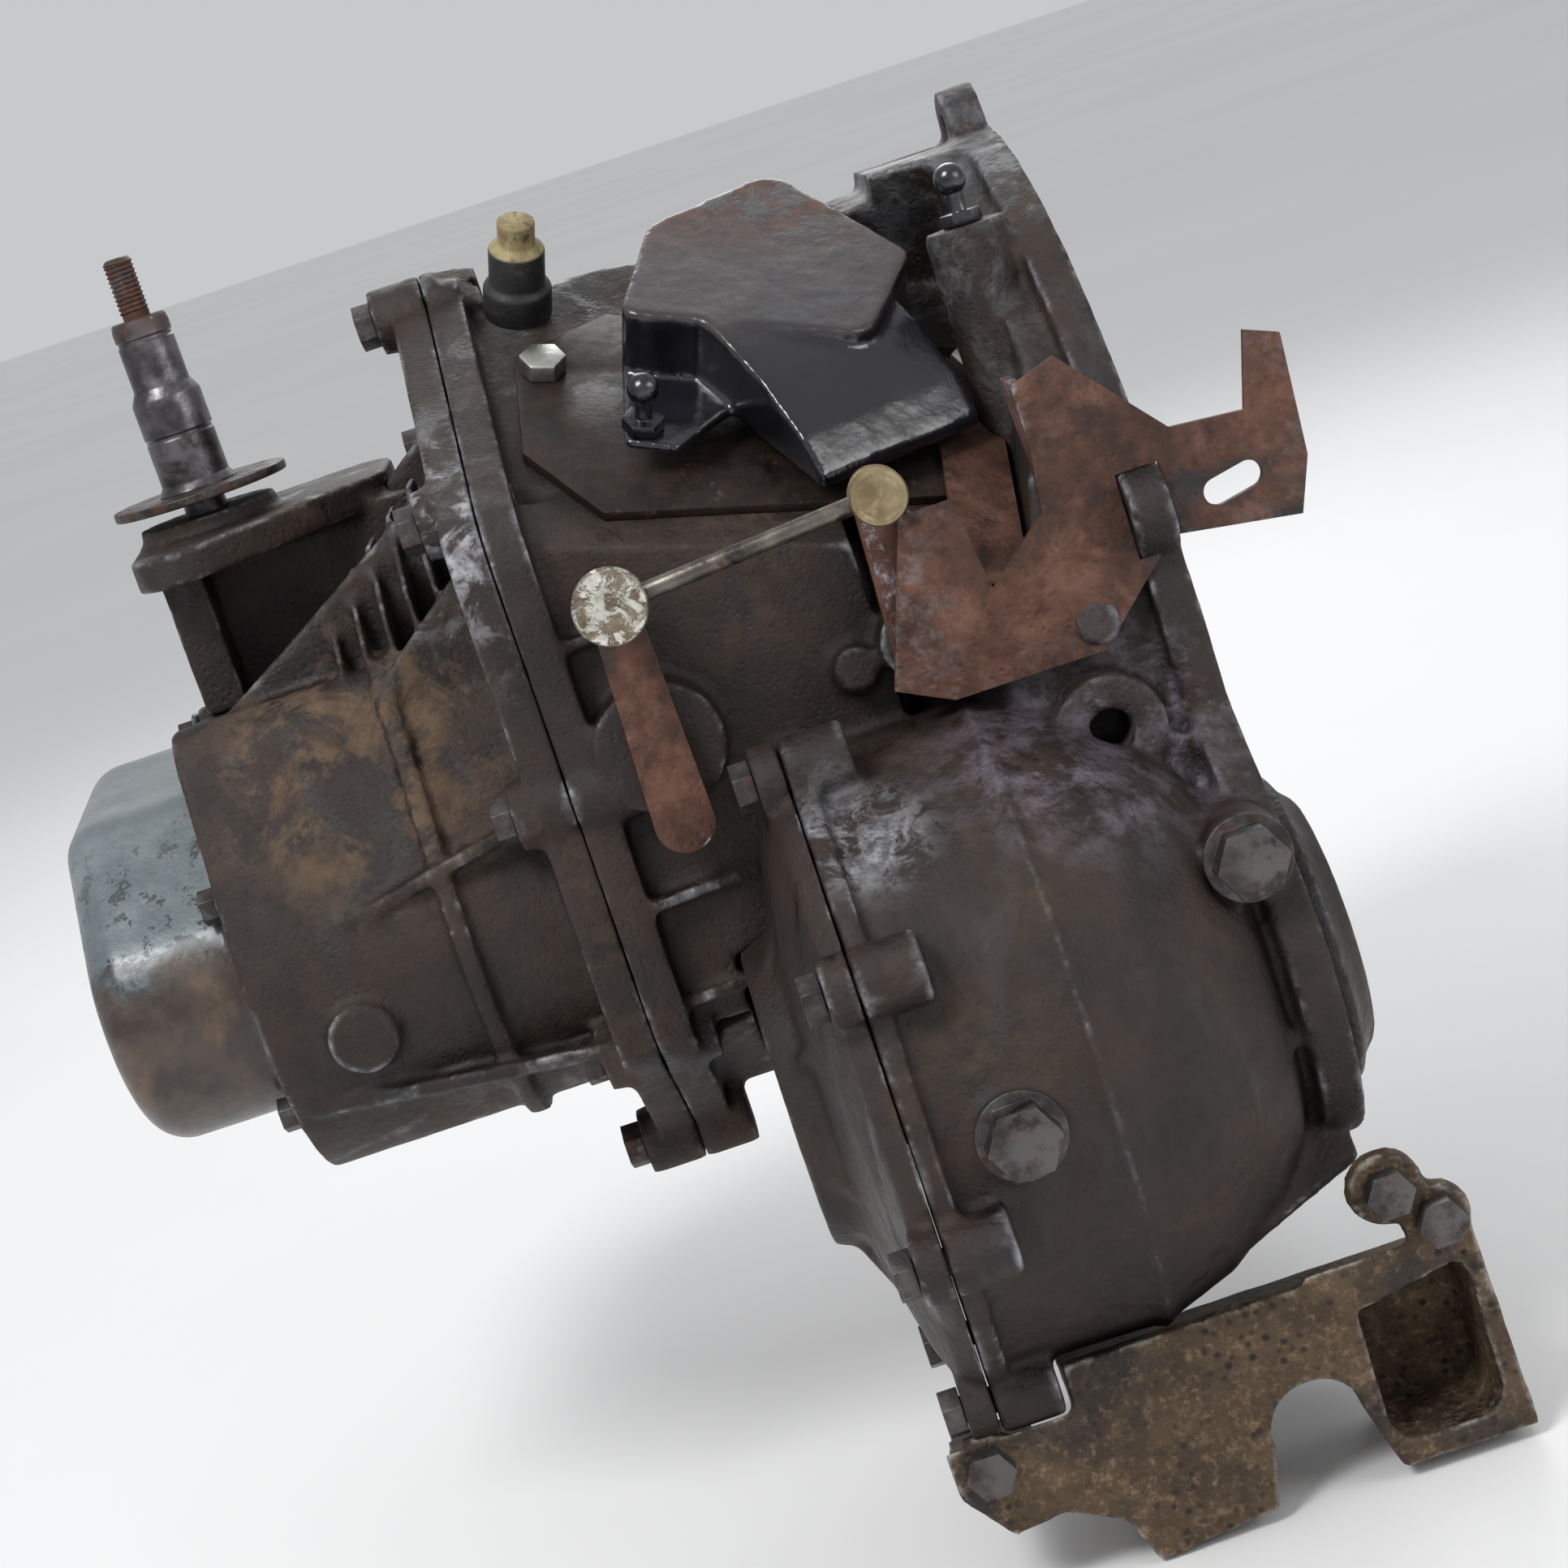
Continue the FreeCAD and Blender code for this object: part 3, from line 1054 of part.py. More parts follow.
def write_parts():
    """Check every object, then write each sub-part to its own file."""
    for thing in doc.Objects:
        if any(state in ("Invalid", "Error") for state in thing.State):
            raise RuntimeError("%s failed: %s" % (thing.Label, thing.State))
    os.makedirs("parts", exist_ok=True)
    for thing in nodes:
        if thing.Shape.isNull() or not thing.Shape.isValid():
            raise RuntimeError("%s has no valid shape" % thing.Label)
        thing.Shape.exportStep("parts/%s.step" % thing.Label)
        print(thing.Label, len(thing.Shape.Solids), round(thing.Shape.Volume))


main()
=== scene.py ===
import json
import math
import bmesh
import bpy
from mathutils import Matrix, Vector

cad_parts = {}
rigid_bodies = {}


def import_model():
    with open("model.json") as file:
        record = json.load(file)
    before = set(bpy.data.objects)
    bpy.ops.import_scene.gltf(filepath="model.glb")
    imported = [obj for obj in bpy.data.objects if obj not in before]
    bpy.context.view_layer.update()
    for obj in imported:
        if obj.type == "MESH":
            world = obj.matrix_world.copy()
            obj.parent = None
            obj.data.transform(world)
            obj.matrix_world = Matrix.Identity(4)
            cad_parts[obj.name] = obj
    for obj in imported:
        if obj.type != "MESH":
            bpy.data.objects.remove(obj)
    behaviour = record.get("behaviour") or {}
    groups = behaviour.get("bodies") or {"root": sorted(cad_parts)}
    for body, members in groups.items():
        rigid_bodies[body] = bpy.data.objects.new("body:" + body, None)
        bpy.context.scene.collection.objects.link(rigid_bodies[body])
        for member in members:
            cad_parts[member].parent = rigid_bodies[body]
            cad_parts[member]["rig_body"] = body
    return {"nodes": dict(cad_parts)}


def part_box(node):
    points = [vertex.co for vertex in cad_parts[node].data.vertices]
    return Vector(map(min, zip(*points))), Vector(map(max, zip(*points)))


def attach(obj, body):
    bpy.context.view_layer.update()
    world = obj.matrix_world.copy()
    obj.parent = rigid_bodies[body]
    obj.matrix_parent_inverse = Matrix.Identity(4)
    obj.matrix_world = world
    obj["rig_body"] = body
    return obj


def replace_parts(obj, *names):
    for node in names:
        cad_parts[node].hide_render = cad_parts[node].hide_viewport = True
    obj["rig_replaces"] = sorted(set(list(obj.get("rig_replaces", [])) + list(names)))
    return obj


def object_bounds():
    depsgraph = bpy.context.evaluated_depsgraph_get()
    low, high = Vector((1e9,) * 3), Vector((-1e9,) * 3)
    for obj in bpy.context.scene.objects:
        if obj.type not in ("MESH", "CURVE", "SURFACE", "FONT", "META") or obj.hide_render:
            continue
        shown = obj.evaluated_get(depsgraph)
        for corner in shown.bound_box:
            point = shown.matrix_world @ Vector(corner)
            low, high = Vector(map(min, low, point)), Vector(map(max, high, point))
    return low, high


# Looks of a used transverse manual gearbox: oily grime over cast aluminium, a chipped stamped end
# cover, rusty pressed brackets and worn plated fittings. Metres, in the frame's own axes.

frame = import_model()
CAD_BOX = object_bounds()
NODES = frame["nodes"]
MM = 0.001
JOINT_FLANGE = 12 * MM


# ---------------------------------------------------------------- material graphs

class Graph:
    """Builds one procedural material, node by node, in object coordinates."""

    def __init__(self, name):
        self.material = bpy.data.materials.new(name)
        self.material.use_nodes = True
        self.tree = self.material.node_tree
        self.shader = self.tree.nodes["Principled BSDF"]
        self.place = self.add("ShaderNodeTexCoord").outputs["Object"]

    def add(self, kind, settings=None, **inputs):
        node = self.tree.nodes.new(kind)
        for key, value in (settings or {}).items():
            setattr(node, key, value)
        for key, value in inputs.items():
            self.feed(node.inputs[key.replace("_", " ")], value)
        return node

    def feed(self, socket, value):
        if isinstance(value, bpy.types.NodeSocket):
            self.tree.links.new(value, socket)
        else:
            socket.default_value = value

    def maths(self, operation, first, second=0.0):
        node = self.add("ShaderNodeMath", {"operation": operation, "use_clamp": True})
        self.feed(node.inputs[0], first)
        self.feed(node.inputs[1], second)
        return node.outputs[0]

    def times(self, *values):
        result = values[0]
        for value in values[1:]:
            result = self.maths("MULTIPLY", result, value)
        return result

    def either(self, first, second):
        return self.maths("MAXIMUM", first, second)

    def less(self, value):
        return self.maths("SUBTRACT", 1.0, value)

    def step(self, value, low, high):
        """0 below low and 1 above high, smoothly."""
        node = self.add("ShaderNodeMapRange", {"interpolation_type": "SMOOTHSTEP"}, Value=value)
        node.inputs["From Min"].default_value = low
        node.inputs["From Max"].default_value = high
        return node.outputs["Result"]

    def noise(self, size, detail=6.0, rough=0.6, twist=0.0, stretch=None):
        """Noise whose patches measure about a given size in metres."""
        place = self.place
        if stretch:
            mapping = self.add("ShaderNodeMapping", Vector=place)
            mapping.inputs["Scale"].default_value = stretch
            place = mapping.outputs["Vector"]
        return self.add("ShaderNodeTexNoise", Vector=place, Scale=1.0 / size, Detail=detail,
                        Roughness=rough, Distortion=twist).outputs["Fac"]

    def cells(self, size, feature="F1"):
        return self.add("ShaderNodeTexVoronoi", {"feature": feature}, Vector=self.place,
                        Scale=1.0 / size).outputs["Distance"]

    def axis(self, letter):
        return self.add("ShaderNodeSeparateXYZ", Vector=self.place).outputs[letter]

    def near(self, centre, radius, soft):
        """1 inside a ball about a point, fading out over a soft edge."""
        gap = self.add("ShaderNodeVectorMath", {"operation": "DISTANCE"})
        self.feed(gap.inputs[0], self.place)
        self.feed(gap.inputs[1], Vector(centre))
        return self.step(gap.outputs["Value"], radius + soft, radius - soft)

    def along(self, direction, low, high):
        """0 to 1 across a slab, measured along a direction from the origin."""
        dot = self.add("ShaderNodeVectorMath", {"operation": "DOT_PRODUCT"})
        self.feed(dot.inputs[0], self.place)
        self.feed(dot.inputs[1], Vector(direction))
        return self.step(dot.outputs["Value"], low, high)

    def edges(self, low=0.515, high=0.56):
        point = self.add("ShaderNodeNewGeometry").outputs["Pointiness"]
        return self.step(point, low, high)

    def hollows(self, low=0.49, high=0.44):
        point = self.add("ShaderNodeNewGeometry").outputs["Pointiness"]
        return self.step(point, low, high)

    def blend(self, share, first, second):
        node = self.add("ShaderNodeMix", {"data_type": "RGBA"})
        self.feed(node.inputs[0], share)
        for socket, value in ((node.inputs[6], first), (node.inputs[7], second)):
            self.feed(socket, value if isinstance(value, bpy.types.NodeSocket) else (*value, 1.0))
        return node.outputs[2]

    def level(self, share, first, second):
        node = self.add("ShaderNodeMix", {"data_type": "FLOAT"})
        self.feed(node.inputs[0], share)
        self.feed(node.inputs[2], first)
        self.feed(node.inputs[3], second)
        return node.outputs[0]

    def mottled(self, dark, light, size):
        return self.blend(self.step(self.noise(size, 8, 0.65), 0.35, 0.65), dark, light)

    def finish(self, base, rough, metal, layers, bumps, coat=0.0):
        """Lays each (mask, dark, light, size, roughness, metallic) over the base, then the bumps."""
        colour = self.mottled(*base)
        for mask, dark, light, size, layer_rough, layer_metal in layers:
            colour = self.blend(mask, colour, self.mottled(dark, light, size))
            rough = self.level(mask, rough, layer_rough)
            metal = self.level(mask, metal, layer_metal)
        grain = self.noise(0.004, 5)
        rough = self.maths("ADD", rough, self.maths("MULTIPLY", self.maths("SUBTRACT", grain, 0.45), 0.45))
        self.feed(self.shader.inputs["Base Color"], colour)
        self.feed(self.shader.inputs["Roughness"], rough)
        self.feed(self.shader.inputs["Metallic"], metal)
        self.shader.inputs["Coat Weight"].default_value = coat
        self.shader.inputs["Coat Roughness"].default_value = 0.18
        normal = None
        for height, distance in bumps:
            bump = self.add("ShaderNodeBump", Strength=0.9, Distance=distance, Height=height)
            if normal is not None:
                self.feed(bump.inputs["Normal"], normal)
            normal = bump.outputs["Normal"]
        self.feed(self.shader.inputs["Normal"], normal)
        return self.material


# Colours, linear: what lies on the metal and the metal itself.
OIL_BLACK = (0.0042, 0.003, 0.003)
OIL_BROWN = (0.017, 0.0095, 0.007)
GRIME_DARK = (0.0095, 0.0058, 0.0046)
GRIME = (0.026, 0.0152, 0.0108)
DUST = (0.062, 0.036, 0.022)
TAN = (0.125, 0.078, 0.044)
BARE_DARK = (0.16, 0.155, 0.165)
BARE = (0.42, 0.42, 0.45)
# Painted sheen: a violet reflection laid into the clutch housing's base colour.
VIOLET_SHEEN = (0.19, 0.165, 0.20)
RUST_DARK = (0.030, 0.0125, 0.0075)
RUST = (0.088, 0.036, 0.021)
COPPER = (0.17, 0.079, 0.054)
PAINT = (0.088, 0.112, 0.122)
PAINT_LIGHT = (0.15, 0.18, 0.19)
PAINT_WORN = (0.21, 0.235, 0.24)
BAKED_OIL = (0.06, 0.036, 0.024)
TAN_LIGHT = (0.24, 0.165, 0.095)
TAN_SHADE = (0.056, 0.034, 0.018)
TAN_SHADE_LIGHT = (0.11, 0.07, 0.038)
WARM_BARE_DARK = (0.2, 0.18, 0.15)
WARM_BARE = (0.45, 0.42, 0.37)


def cast_bumps(graph, rough=1.0):
    """Waves, sand grain and pits of a cast skin, as (height, distance) pairs."""
    pits = graph.step(graph.cells(0.0022), 0.0, 0.5)
    return ((graph.noise(0.018, 4), 0.0009 * rough), (graph.noise(0.0022, 8, 0.75), 0.0005 * rough),
            (pits, 0.00018 * rough))


def oily_casting(name, dust, bare, patches=()):
    """Cast aluminium under oil and dust, worn bare on some edges; named patches add further colours, among
    them painted sheen.
    """
    graph = Graph(name)
    wide = graph.noise(0.075, 5, 0.6, 0.6)
    runs = graph.noise(0.03, 6, 0.6, 0.4, stretch=(1.6, 1.6, 0.45))
    dusty = graph.times(graph.step(wide, 0.5 - dust, 0.72 - dust),
                        graph.step(graph.noise(0.006, 8, 0.7), 0.3, 0.62))
    wet = graph.step(runs, 0.52, 0.66)
    worn = graph.times(graph.edges(), graph.step(graph.noise(0.022, 6, 0.7), 0.5 - bare, 0.66 - bare))
    layers = [
        (dusty, GRIME, DUST, 0.012, 0.8, 0.0),
        (wet, OIL_BLACK, OIL_BROWN, 0.02, 0.26, 0.0),
        (graph.hollows(), OIL_BLACK, GRIME_DARK, 0.02, 0.5, 0.0),
        (worn, BARE_DARK, BARE, 0.006, 0.38, 0.85),
    ]
    for centre, radius, soft, dark, light, size, rough, metal, low in patches:
        spread = graph.times(graph.near(centre, radius, soft),
                             graph.step(graph.noise(size * 2.2, 8, 0.72, 0.5), low, low + 0.12))
        layers.append((spread, dark, light, size, rough, metal))
    return graph.finish((GRIME_DARK, GRIME, 0.03), 0.52, 0.1, layers, cast_bumps(graph))


def housing_material():
    """Clutch housing: silver rub marks on the drum, and a painted violet sheen beside its ridge and on the
    bell.
    """
    final = middle_of("crown_wheel")
    drum_left = Vector((final.x - 0.008, final.y - 0.055, final.z + 0.086))
    shine = Vector((-0.052, final.y - 0.04, final.z + 0.084))
    bell_sheen = Vector((-0.035, -0.15, -0.02))
    top = Vector((-0.03, -0.05, 0.15))
    # shine and bell lay a painted violet sheen into the colour, standing in for a reflection.
    patches = (
        (drum_left, 0.016, 0.014, BARE_DARK, BARE, 0.005, 0.3, 0.9, 0.40),
        (shine, 0.03, 0.022, GRIME, VIOLET_SHEEN, 0.01, 0.3, 0.55, 0.42),
        (bell_sheen, 0.035, 0.03, GRIME, VIOLET_SHEEN, 0.012, 0.32, 0.5, 0.47),
        (top, 0.07, 0.05, (0.045, 0.05, 0.055), BARE_DARK, 0.012, 0.42, 0.6, 0.46),
    )
    return oily_casting("clutch_housing_casting", 0.0, 0.05, patches)


def rusty_sheet(name, more_dirt=0.0):
    """Pressed steel rusted to a copper brown, with oil stains, dry dirt and bright rubbed edges."""
    graph = Graph(name)
    wide = graph.noise(0.03, 7, 0.65, 0.5)
    fine = graph.noise(0.005, 9, 0.75)
    layers = (
        (graph.step(wide, 0.42, 0.6), RUST, COPPER, 0.008, 0.62, 0.25),
        (graph.step(graph.noise(0.045, 6, 0.6, 0.8), 0.55, 0.68), OIL_BLACK, OIL_BROWN, 0.015, 0.3, 0.0),
        (graph.times(graph.step(fine, 0.56, 0.66), graph.step(wide, 0.45 - more_dirt, 0.65)),
         TAN, DUST, 0.004, 0.8, 0.0),
        (graph.times(graph.edges(0.52, 0.6), graph.step(fine, 0.45, 0.6)), BARE_DARK, BARE, 0.004, 0.4, 0.9),
    )
    bumps = ((graph.noise(0.004, 8, 0.75), 0.0005), (graph.step(graph.cells(0.003), 0.0, 0.4), 0.00025),
             (graph.noise(0.03, 3), 0.0008))
    return graph.finish((RUST_DARK, RUST, 0.012), 0.66, 0.2, layers, bumps)


def tan_casting():
    """Lower bracket: pitted aluminium under dry tan dirt, oily near the drum."""
    graph = Graph("lower_bracket_casting")
    fine = graph.noise(0.004, 9, 0.78)
    wide = graph.noise(0.05, 6, 0.62, 0.6)
    pits = graph.step(graph.cells(0.004), 0.42, 0.12)
    layers = (
        (graph.step(wide, 0.46, 0.62), GRIME_DARK, GRIME, 0.02, 0.5, 0.0),
        (graph.times(graph.step(fine, 0.5, 0.64), graph.less(graph.step(wide, 0.5, 0.7))),
         TAN, TAN_LIGHT, 0.003, 0.7, 0.1),
        (graph.times(pits, graph.step(graph.noise(0.02, 5), 0.4, 0.6)),
         OIL_BLACK, GRIME_DARK, 0.006, 0.7, 0.0),
        (graph.times(graph.edges(), graph.step(graph.noise(0.016, 6, 0.7), 0.42, 0.58)),
         WARM_BARE_DARK, WARM_BARE, 0.004, 0.36, 0.8),
        (graph.hollows(), OIL_BLACK, OIL_BROWN, 0.02, 0.55, 0.0),
    )
    bumps = (*cast_bumps(graph, 1.3), (pits, 0.0004))
    return graph.finish((TAN_SHADE, TAN_SHADE_LIGHT, 0.016), 0.62, 0.25, layers, bumps)


def chipped_paint():
    """End cover: glossy blue-grey paint above, brown baked oil below, flaking along the border."""
    graph = Graph("end_cover_paint")
    low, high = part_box("end_cover")
    border = low.z + 0.56 * (high.z - low.z)
    height = graph.axis("Z")
    ragged = graph.maths("ADD", height, graph.maths("MULTIPLY", graph.noise(0.02, 9, 0.75, 0.5), 0.05))
    grime = graph.less(graph.step(ragged, border + 0.018, border + 0.028))
    chips = graph.times(graph.step(graph.noise(0.008, 9, 0.8), 0.56, 0.6),
                        graph.step(height, border + 0.05, border - 0.01))
    rim = graph.step(graph.axis("X"), high.x - 0.012, high.x - 0.003)
    layers = (
        (graph.times(graph.step(graph.noise(0.03, 6), 0.5, 0.7), 0.5),
         PAINT_LIGHT, PAINT_WORN, 0.01, 0.3, 0.0),
        (graph.either(graph.times(grime, 0.97), graph.times(chips, 0.9)),
         OIL_BROWN, BAKED_OIL, 0.012, 0.42, 0.0),
        (graph.times(grime, graph.step(graph.noise(0.05, 5, 0.6, 0.7), 0.52, 0.66)),
         DUST, TAN, 0.01, 0.6, 0.0),
        (graph.times(rim, graph.step(graph.noise(0.012, 6), 0.4, 0.55)), RUST_DARK, GRIME, 0.008, 0.6, 0.2),
    )
    bumps = ((graph.times(graph.either(grime, chips), 1.0), 0.0004), (graph.noise(0.003, 7, 0.7), 0.00018),
             (graph.noise(0.03, 3), 0.0004))
    return graph.finish((PAINT, PAINT_LIGHT, 0.03), 0.34, 0.15, layers, bumps, coat=0.35)


def gloss_black():
    """Selector weight: thick glossy black paint, rusted through on its upper face."""
    graph = Graph("selector_weight_paint")
    low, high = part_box("selector_weight")
    deck = deck_axes()[2]
    top = max(Vector(vertex.co).dot(deck) for vertex in NODES["selector_weight"].data.vertices)
    upper = graph.along(deck, top - 0.0035, top - 0.0005)
    patch = graph.step(graph.noise(0.03, 7, 0.7, 0.6), 0.46, 0.53)
    far_side = graph.step(graph.axis("Y"), low.y + 0.45 * (high.y - low.y), high.y - 0.02)
    rust = graph.times(upper, patch, far_side)
    dull = graph.times(upper, 0.8)
    layers = (
        (dull, (0.018, 0.014, 0.016), (0.035, 0.024, 0.024), 0.02, 0.5, 0.0),
        (rust, RUST_DARK, RUST, 0.006, 0.75, 0.0),
        (graph.times(graph.edges(0.53, 0.6), graph.step(graph.noise(0.006, 7), 0.56, 0.64)),
         RUST_DARK, BARE_DARK, 0.004, 0.5, 0.4),
    )
    bumps = ((graph.times(rust, 1.0), -0.0003), (graph.noise(0.014, 4), 0.0006),
             (graph.noise(0.003, 6, 0.7), 0.00009))
    black = ((0.003, 0.003, 0.0045), (0.009, 0.008, 0.013), 0.03)
    return graph.finish(black, 0.16, 0.0, layers, bumps, coat=0.6)


def steel(name, dark, light, rough, metal, rust, oil, rust_where=None):
    """Turned or ground steel with oil film and spots of rust."""
    graph = Graph(name)
    spots = graph.step(graph.noise(0.007, 8, 0.75), 0.62 - rust, 0.7 - rust)
    if rust_where is not None:
        spots = graph.either(spots, rust_where(graph))
    layers = (
        (graph.step(graph.noise(0.02, 6, 0.65, 0.5), 0.62 - oil, 0.74 - oil),
         OIL_BLACK, OIL_BROWN, 0.01, 0.32, 0.1),
        (spots, RUST_DARK, RUST, 0.004, 0.78, 0.1),
        (graph.times(graph.edges(0.52, 0.6), graph.step(graph.noise(0.008, 6), 0.42, 0.56)),
         light, light, 0.01, rough * 0.8, 0.95),
    )
    bumps = ((graph.noise(0.0016, 6, 0.7), 0.00012), (graph.noise(0.01, 4), 0.00025))
    return graph.finish((dark, light, 0.01), rough, metal, layers, bumps)


def plain_part(name, dark, light, rough, metal, grime=0.15):
    """Moulded or cast small part under a film of dirt."""
    graph = Graph(name)
    layers = (
        (graph.step(graph.noise(0.012, 7, 0.7, 0.4), 0.6 - grime, 0.7 - grime),
         GRIME_DARK, GRIME, 0.008, 0.6, 0.0),
        (graph.hollows(), OIL_BLACK, OIL_BROWN, 0.01, 0.5, 0.0),
    )
    bumps = ((graph.noise(0.002, 7, 0.7), 0.0002), (graph.noise(0.012, 4), 0.0004))
    return graph.finish((dark, light, 0.01), rough, metal, layers, bumps)


def switch_plastic():
    """Black switch body with a yellowed terminal end."""
    graph = Graph("reverse_switch_plastic")
    deck = deck_axes()[2]
    top = max(Vector(vertex.co).dot(deck) for vertex in NODES["reverse_light_switch"].data.vertices)
    tip = graph.along(deck, top - 0.0105, top - 0.0095)
    layers = (
        (tip, (0.16, 0.12, 0.05), (0.33, 0.27, 0.13), 0.006, 0.55, 0.0),
        (graph.step(graph.noise(0.012, 7, 0.7), 0.55, 0.66), GRIME_DARK, DUST, 0.006, 0.7, 0.0),
    )
    bumps = ((graph.noise(0.0025, 7, 0.7), 0.0002), (graph.noise(0.01, 3), 0.0003))
    return graph.finish(((0.008, 0.008, 0.009), (0.022, 0.021, 0.022), 0.012), 0.5, 0.0, layers, bumps)


def worn_cap():
    """Link-rod cap: bright worn plating at the middle of its face, brown at the rim."""
    graph = Graph("rod_cap_plating")
    wear = graph.step(graph.noise(0.007, 8, 0.75, 0.8), 0.47, 0.52)
    layers = (
        (wear, (0.5, 0.49, 0.42), (0.82, 0.8, 0.74), 0.004, 0.32, 0.9),
        (graph.hollows(0.49, 0.45), OIL_BLACK, OIL_BROWN, 0.01, 0.4, 0.0),
    )
    bumps = ((wear, 0.00012), (graph.noise(0.003, 6, 0.7), 0.0001), (graph.noise(0.01, 3), 0.0003))
    return graph.finish(((0.13, 0.10, 0.07), (0.25, 0.2, 0.14), 0.006), 0.4, 0.7, layers, bumps)


def floor_material():
    graph = Graph("studio_floor")
    bumps = ((graph.noise(0.4, 3), 0.0005), (graph.noise(0.01, 4), 0.00002))
    return graph.finish(((0.80, 0.80, 0.80), (0.83, 0.83, 0.83), 1.5), 0.72, 0.0, (), bumps)


# ---------------------------------------------------------------- mesh helpers

def deck_axes():
    """Unit axes of the leaning selector deck, from its dip and lean."""
    dip, lean = math.radians(18), math.radians(30)
    turn = Matrix.Rotation(dip, 3, "Y") @ Matrix.Rotation(lean, 3, "X")
    return turn.col[0], turn.col[1], turn.col[2]


def body_of(node):
    return NODES[node]["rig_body"]


def middle_of(node):
    low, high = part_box(node)
    return (low + high) / 2


def copied(node, name):
    """A free object with a welded copy of a CAD node's mesh."""
    mesh = NODES[node].data.copy()
    mesh.name = name
    mesh.materials.clear()
    work = bmesh.new()
    work.from_mesh(mesh)
    bmesh.ops.remove_doubles(work, verts=work.verts, dist=1e-6)
    work.to_mesh(mesh)
    work.free()
    piece = bpy.data.objects.new(name, mesh)
    bpy.context.scene.collection.objects.link(piece)
    return piece


def settle(piece):
    """Applies every modifier of a piece to its mesh."""
    view = bpy.context.evaluated_depsgraph_get()
    mesh = bpy.data.meshes.new_from_object(piece.evaluated_get(view))
    piece.modifiers.clear()
    old = piece.data
    piece.data = mesh
    bpy.data.meshes.remove(old)
    return piece


def modify(piece, kind, **settings):
    modifier = piece.modifiers.new(kind.lower(), kind)
    for key, value in settings.items():
        setattr(modifier, key, value)
    return modifier


def smooth_shaded(piece, angle=None):
    for polygon in piece.data.polygons:
        polygon.use_smooth = True
    if angle is not None:
        piece.data.set_sharp_from_angle(angle=math.radians(angle))


def dress(piece, nodes, material):
    """Gives a piece its material and body, and lets it stand for its CAD nodes."""
    piece.data.materials.clear()
    piece.data.materials.append(material)
    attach(piece, body_of(nodes[0]))
    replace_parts(piece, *nodes)
    return piece


def bevelled(node, width, material, segments=3, flat=4.0):
    """CAD piece with its hard edges rounded."""
    piece = copied(node, node + "_finished")
    work = bmesh.new()
    work.from_mesh(piece.data)
    bmesh.ops.dissolve_limit(work, angle_limit=math.radians(flat), verts=work.verts, edges=work.edges)
    work.to_mesh(piece.data)
    work.free()
    modify(piece, "BEVEL", width=width, segments=segments, limit_method="ANGLE",
           angle_limit=math.radians(38), harden_normals=False)
    settle(piece)
    smooth_shaded(piece, 40)
    return dress(piece, [node], material)


def append_solid(mesh, points, faces):
    """Adds one closed solid to a mesh that will be remeshed into one skin."""
    work = bmesh.new()
    work.from_mesh(mesh)
    spots = [work.verts.new(point) for point in points]
    added = [work.faces.new([spots[index] for index in face]) for face in faces]
    bmesh.ops.recalc_face_normals(work, faces=added)
    work.to_mesh(mesh)
    work.free()


def append_prism(mesh, outline, offset):
    """Prism from an outline of 3-D points and the vector it is swept along."""
    count = len(outline)
    points = [Vector(point) for point in outline] + [Vector(point) + Vector(offset) for point in outline]
    sides = [(index, (index + 1) % count, count + (index + 1) % count, count + index)
             for index in range(count)]
    append_solid(mesh, points, [tuple(range(count - 1, -1, -1)), tuple(range(count, 2 * count)), *sides])


def append_boss(mesh, centre, axis, radius, length, sides=28, taper=1.0):
    """Round boss along an axis from its base centre."""
    axis = Vector(axis).normalized()
    across = axis.orthogonal().normalized()
    up = axis.cross(across)
    rings = []
    for reach, size in ((0.0, radius), (length, radius * taper)):
        rings.append([Vector(centre) + axis * reach + (across * math.cos(turn) + up * math.sin(turn)) * size
                      for turn in (2 * math.pi * step / sides for step in range(sides))])
    faces = [tuple(range(sides - 1, -1, -1)), tuple(range(sides, 2 * sides))]
    faces += [(step, (step + 1) % sides, sides + (step + 1) % sides, sides + step) for step in range(sides)]
    append_solid(mesh, rings[0] + rings[1], faces)


def clouds(size, depth=4):
    texture = bpy.data.textures.new("cast_skin", "CLOUDS")
    texture.noise_scale = size
    texture.noise_depth = depth
    return texture


def cast(node, material, voxel, additions=None, rounds=6, faces=150000, rough=0.0004):
    """Sand casting: one skin with rounded inside and outside corners and an uneven surface."""
    piece = copied(node, node + "_casting")
    if additions:
        additions(piece.data)
    modify(piece, "REMESH", mode="VOXEL", voxel_size=voxel, adaptivity=0.0)
    modify(piece, "SMOOTH", factor=0.5, iterations=rounds)
    modify(piece, "DISPLACE", texture=clouds(0.012), strength=rough, mid_level=1.0,
           texture_coords="GLOBAL")
    settle(piece)
    share = min(1.0, faces / max(1, len(piece.data.polygons) * 2))
    if share < 1.0:
        modify(piece, "DECIMATE", ratio=share)
        settle(piece)
    smooth_shaded(piece)
    return dress(piece, [node], material)


# ---------------------------------------------------------------- casting details

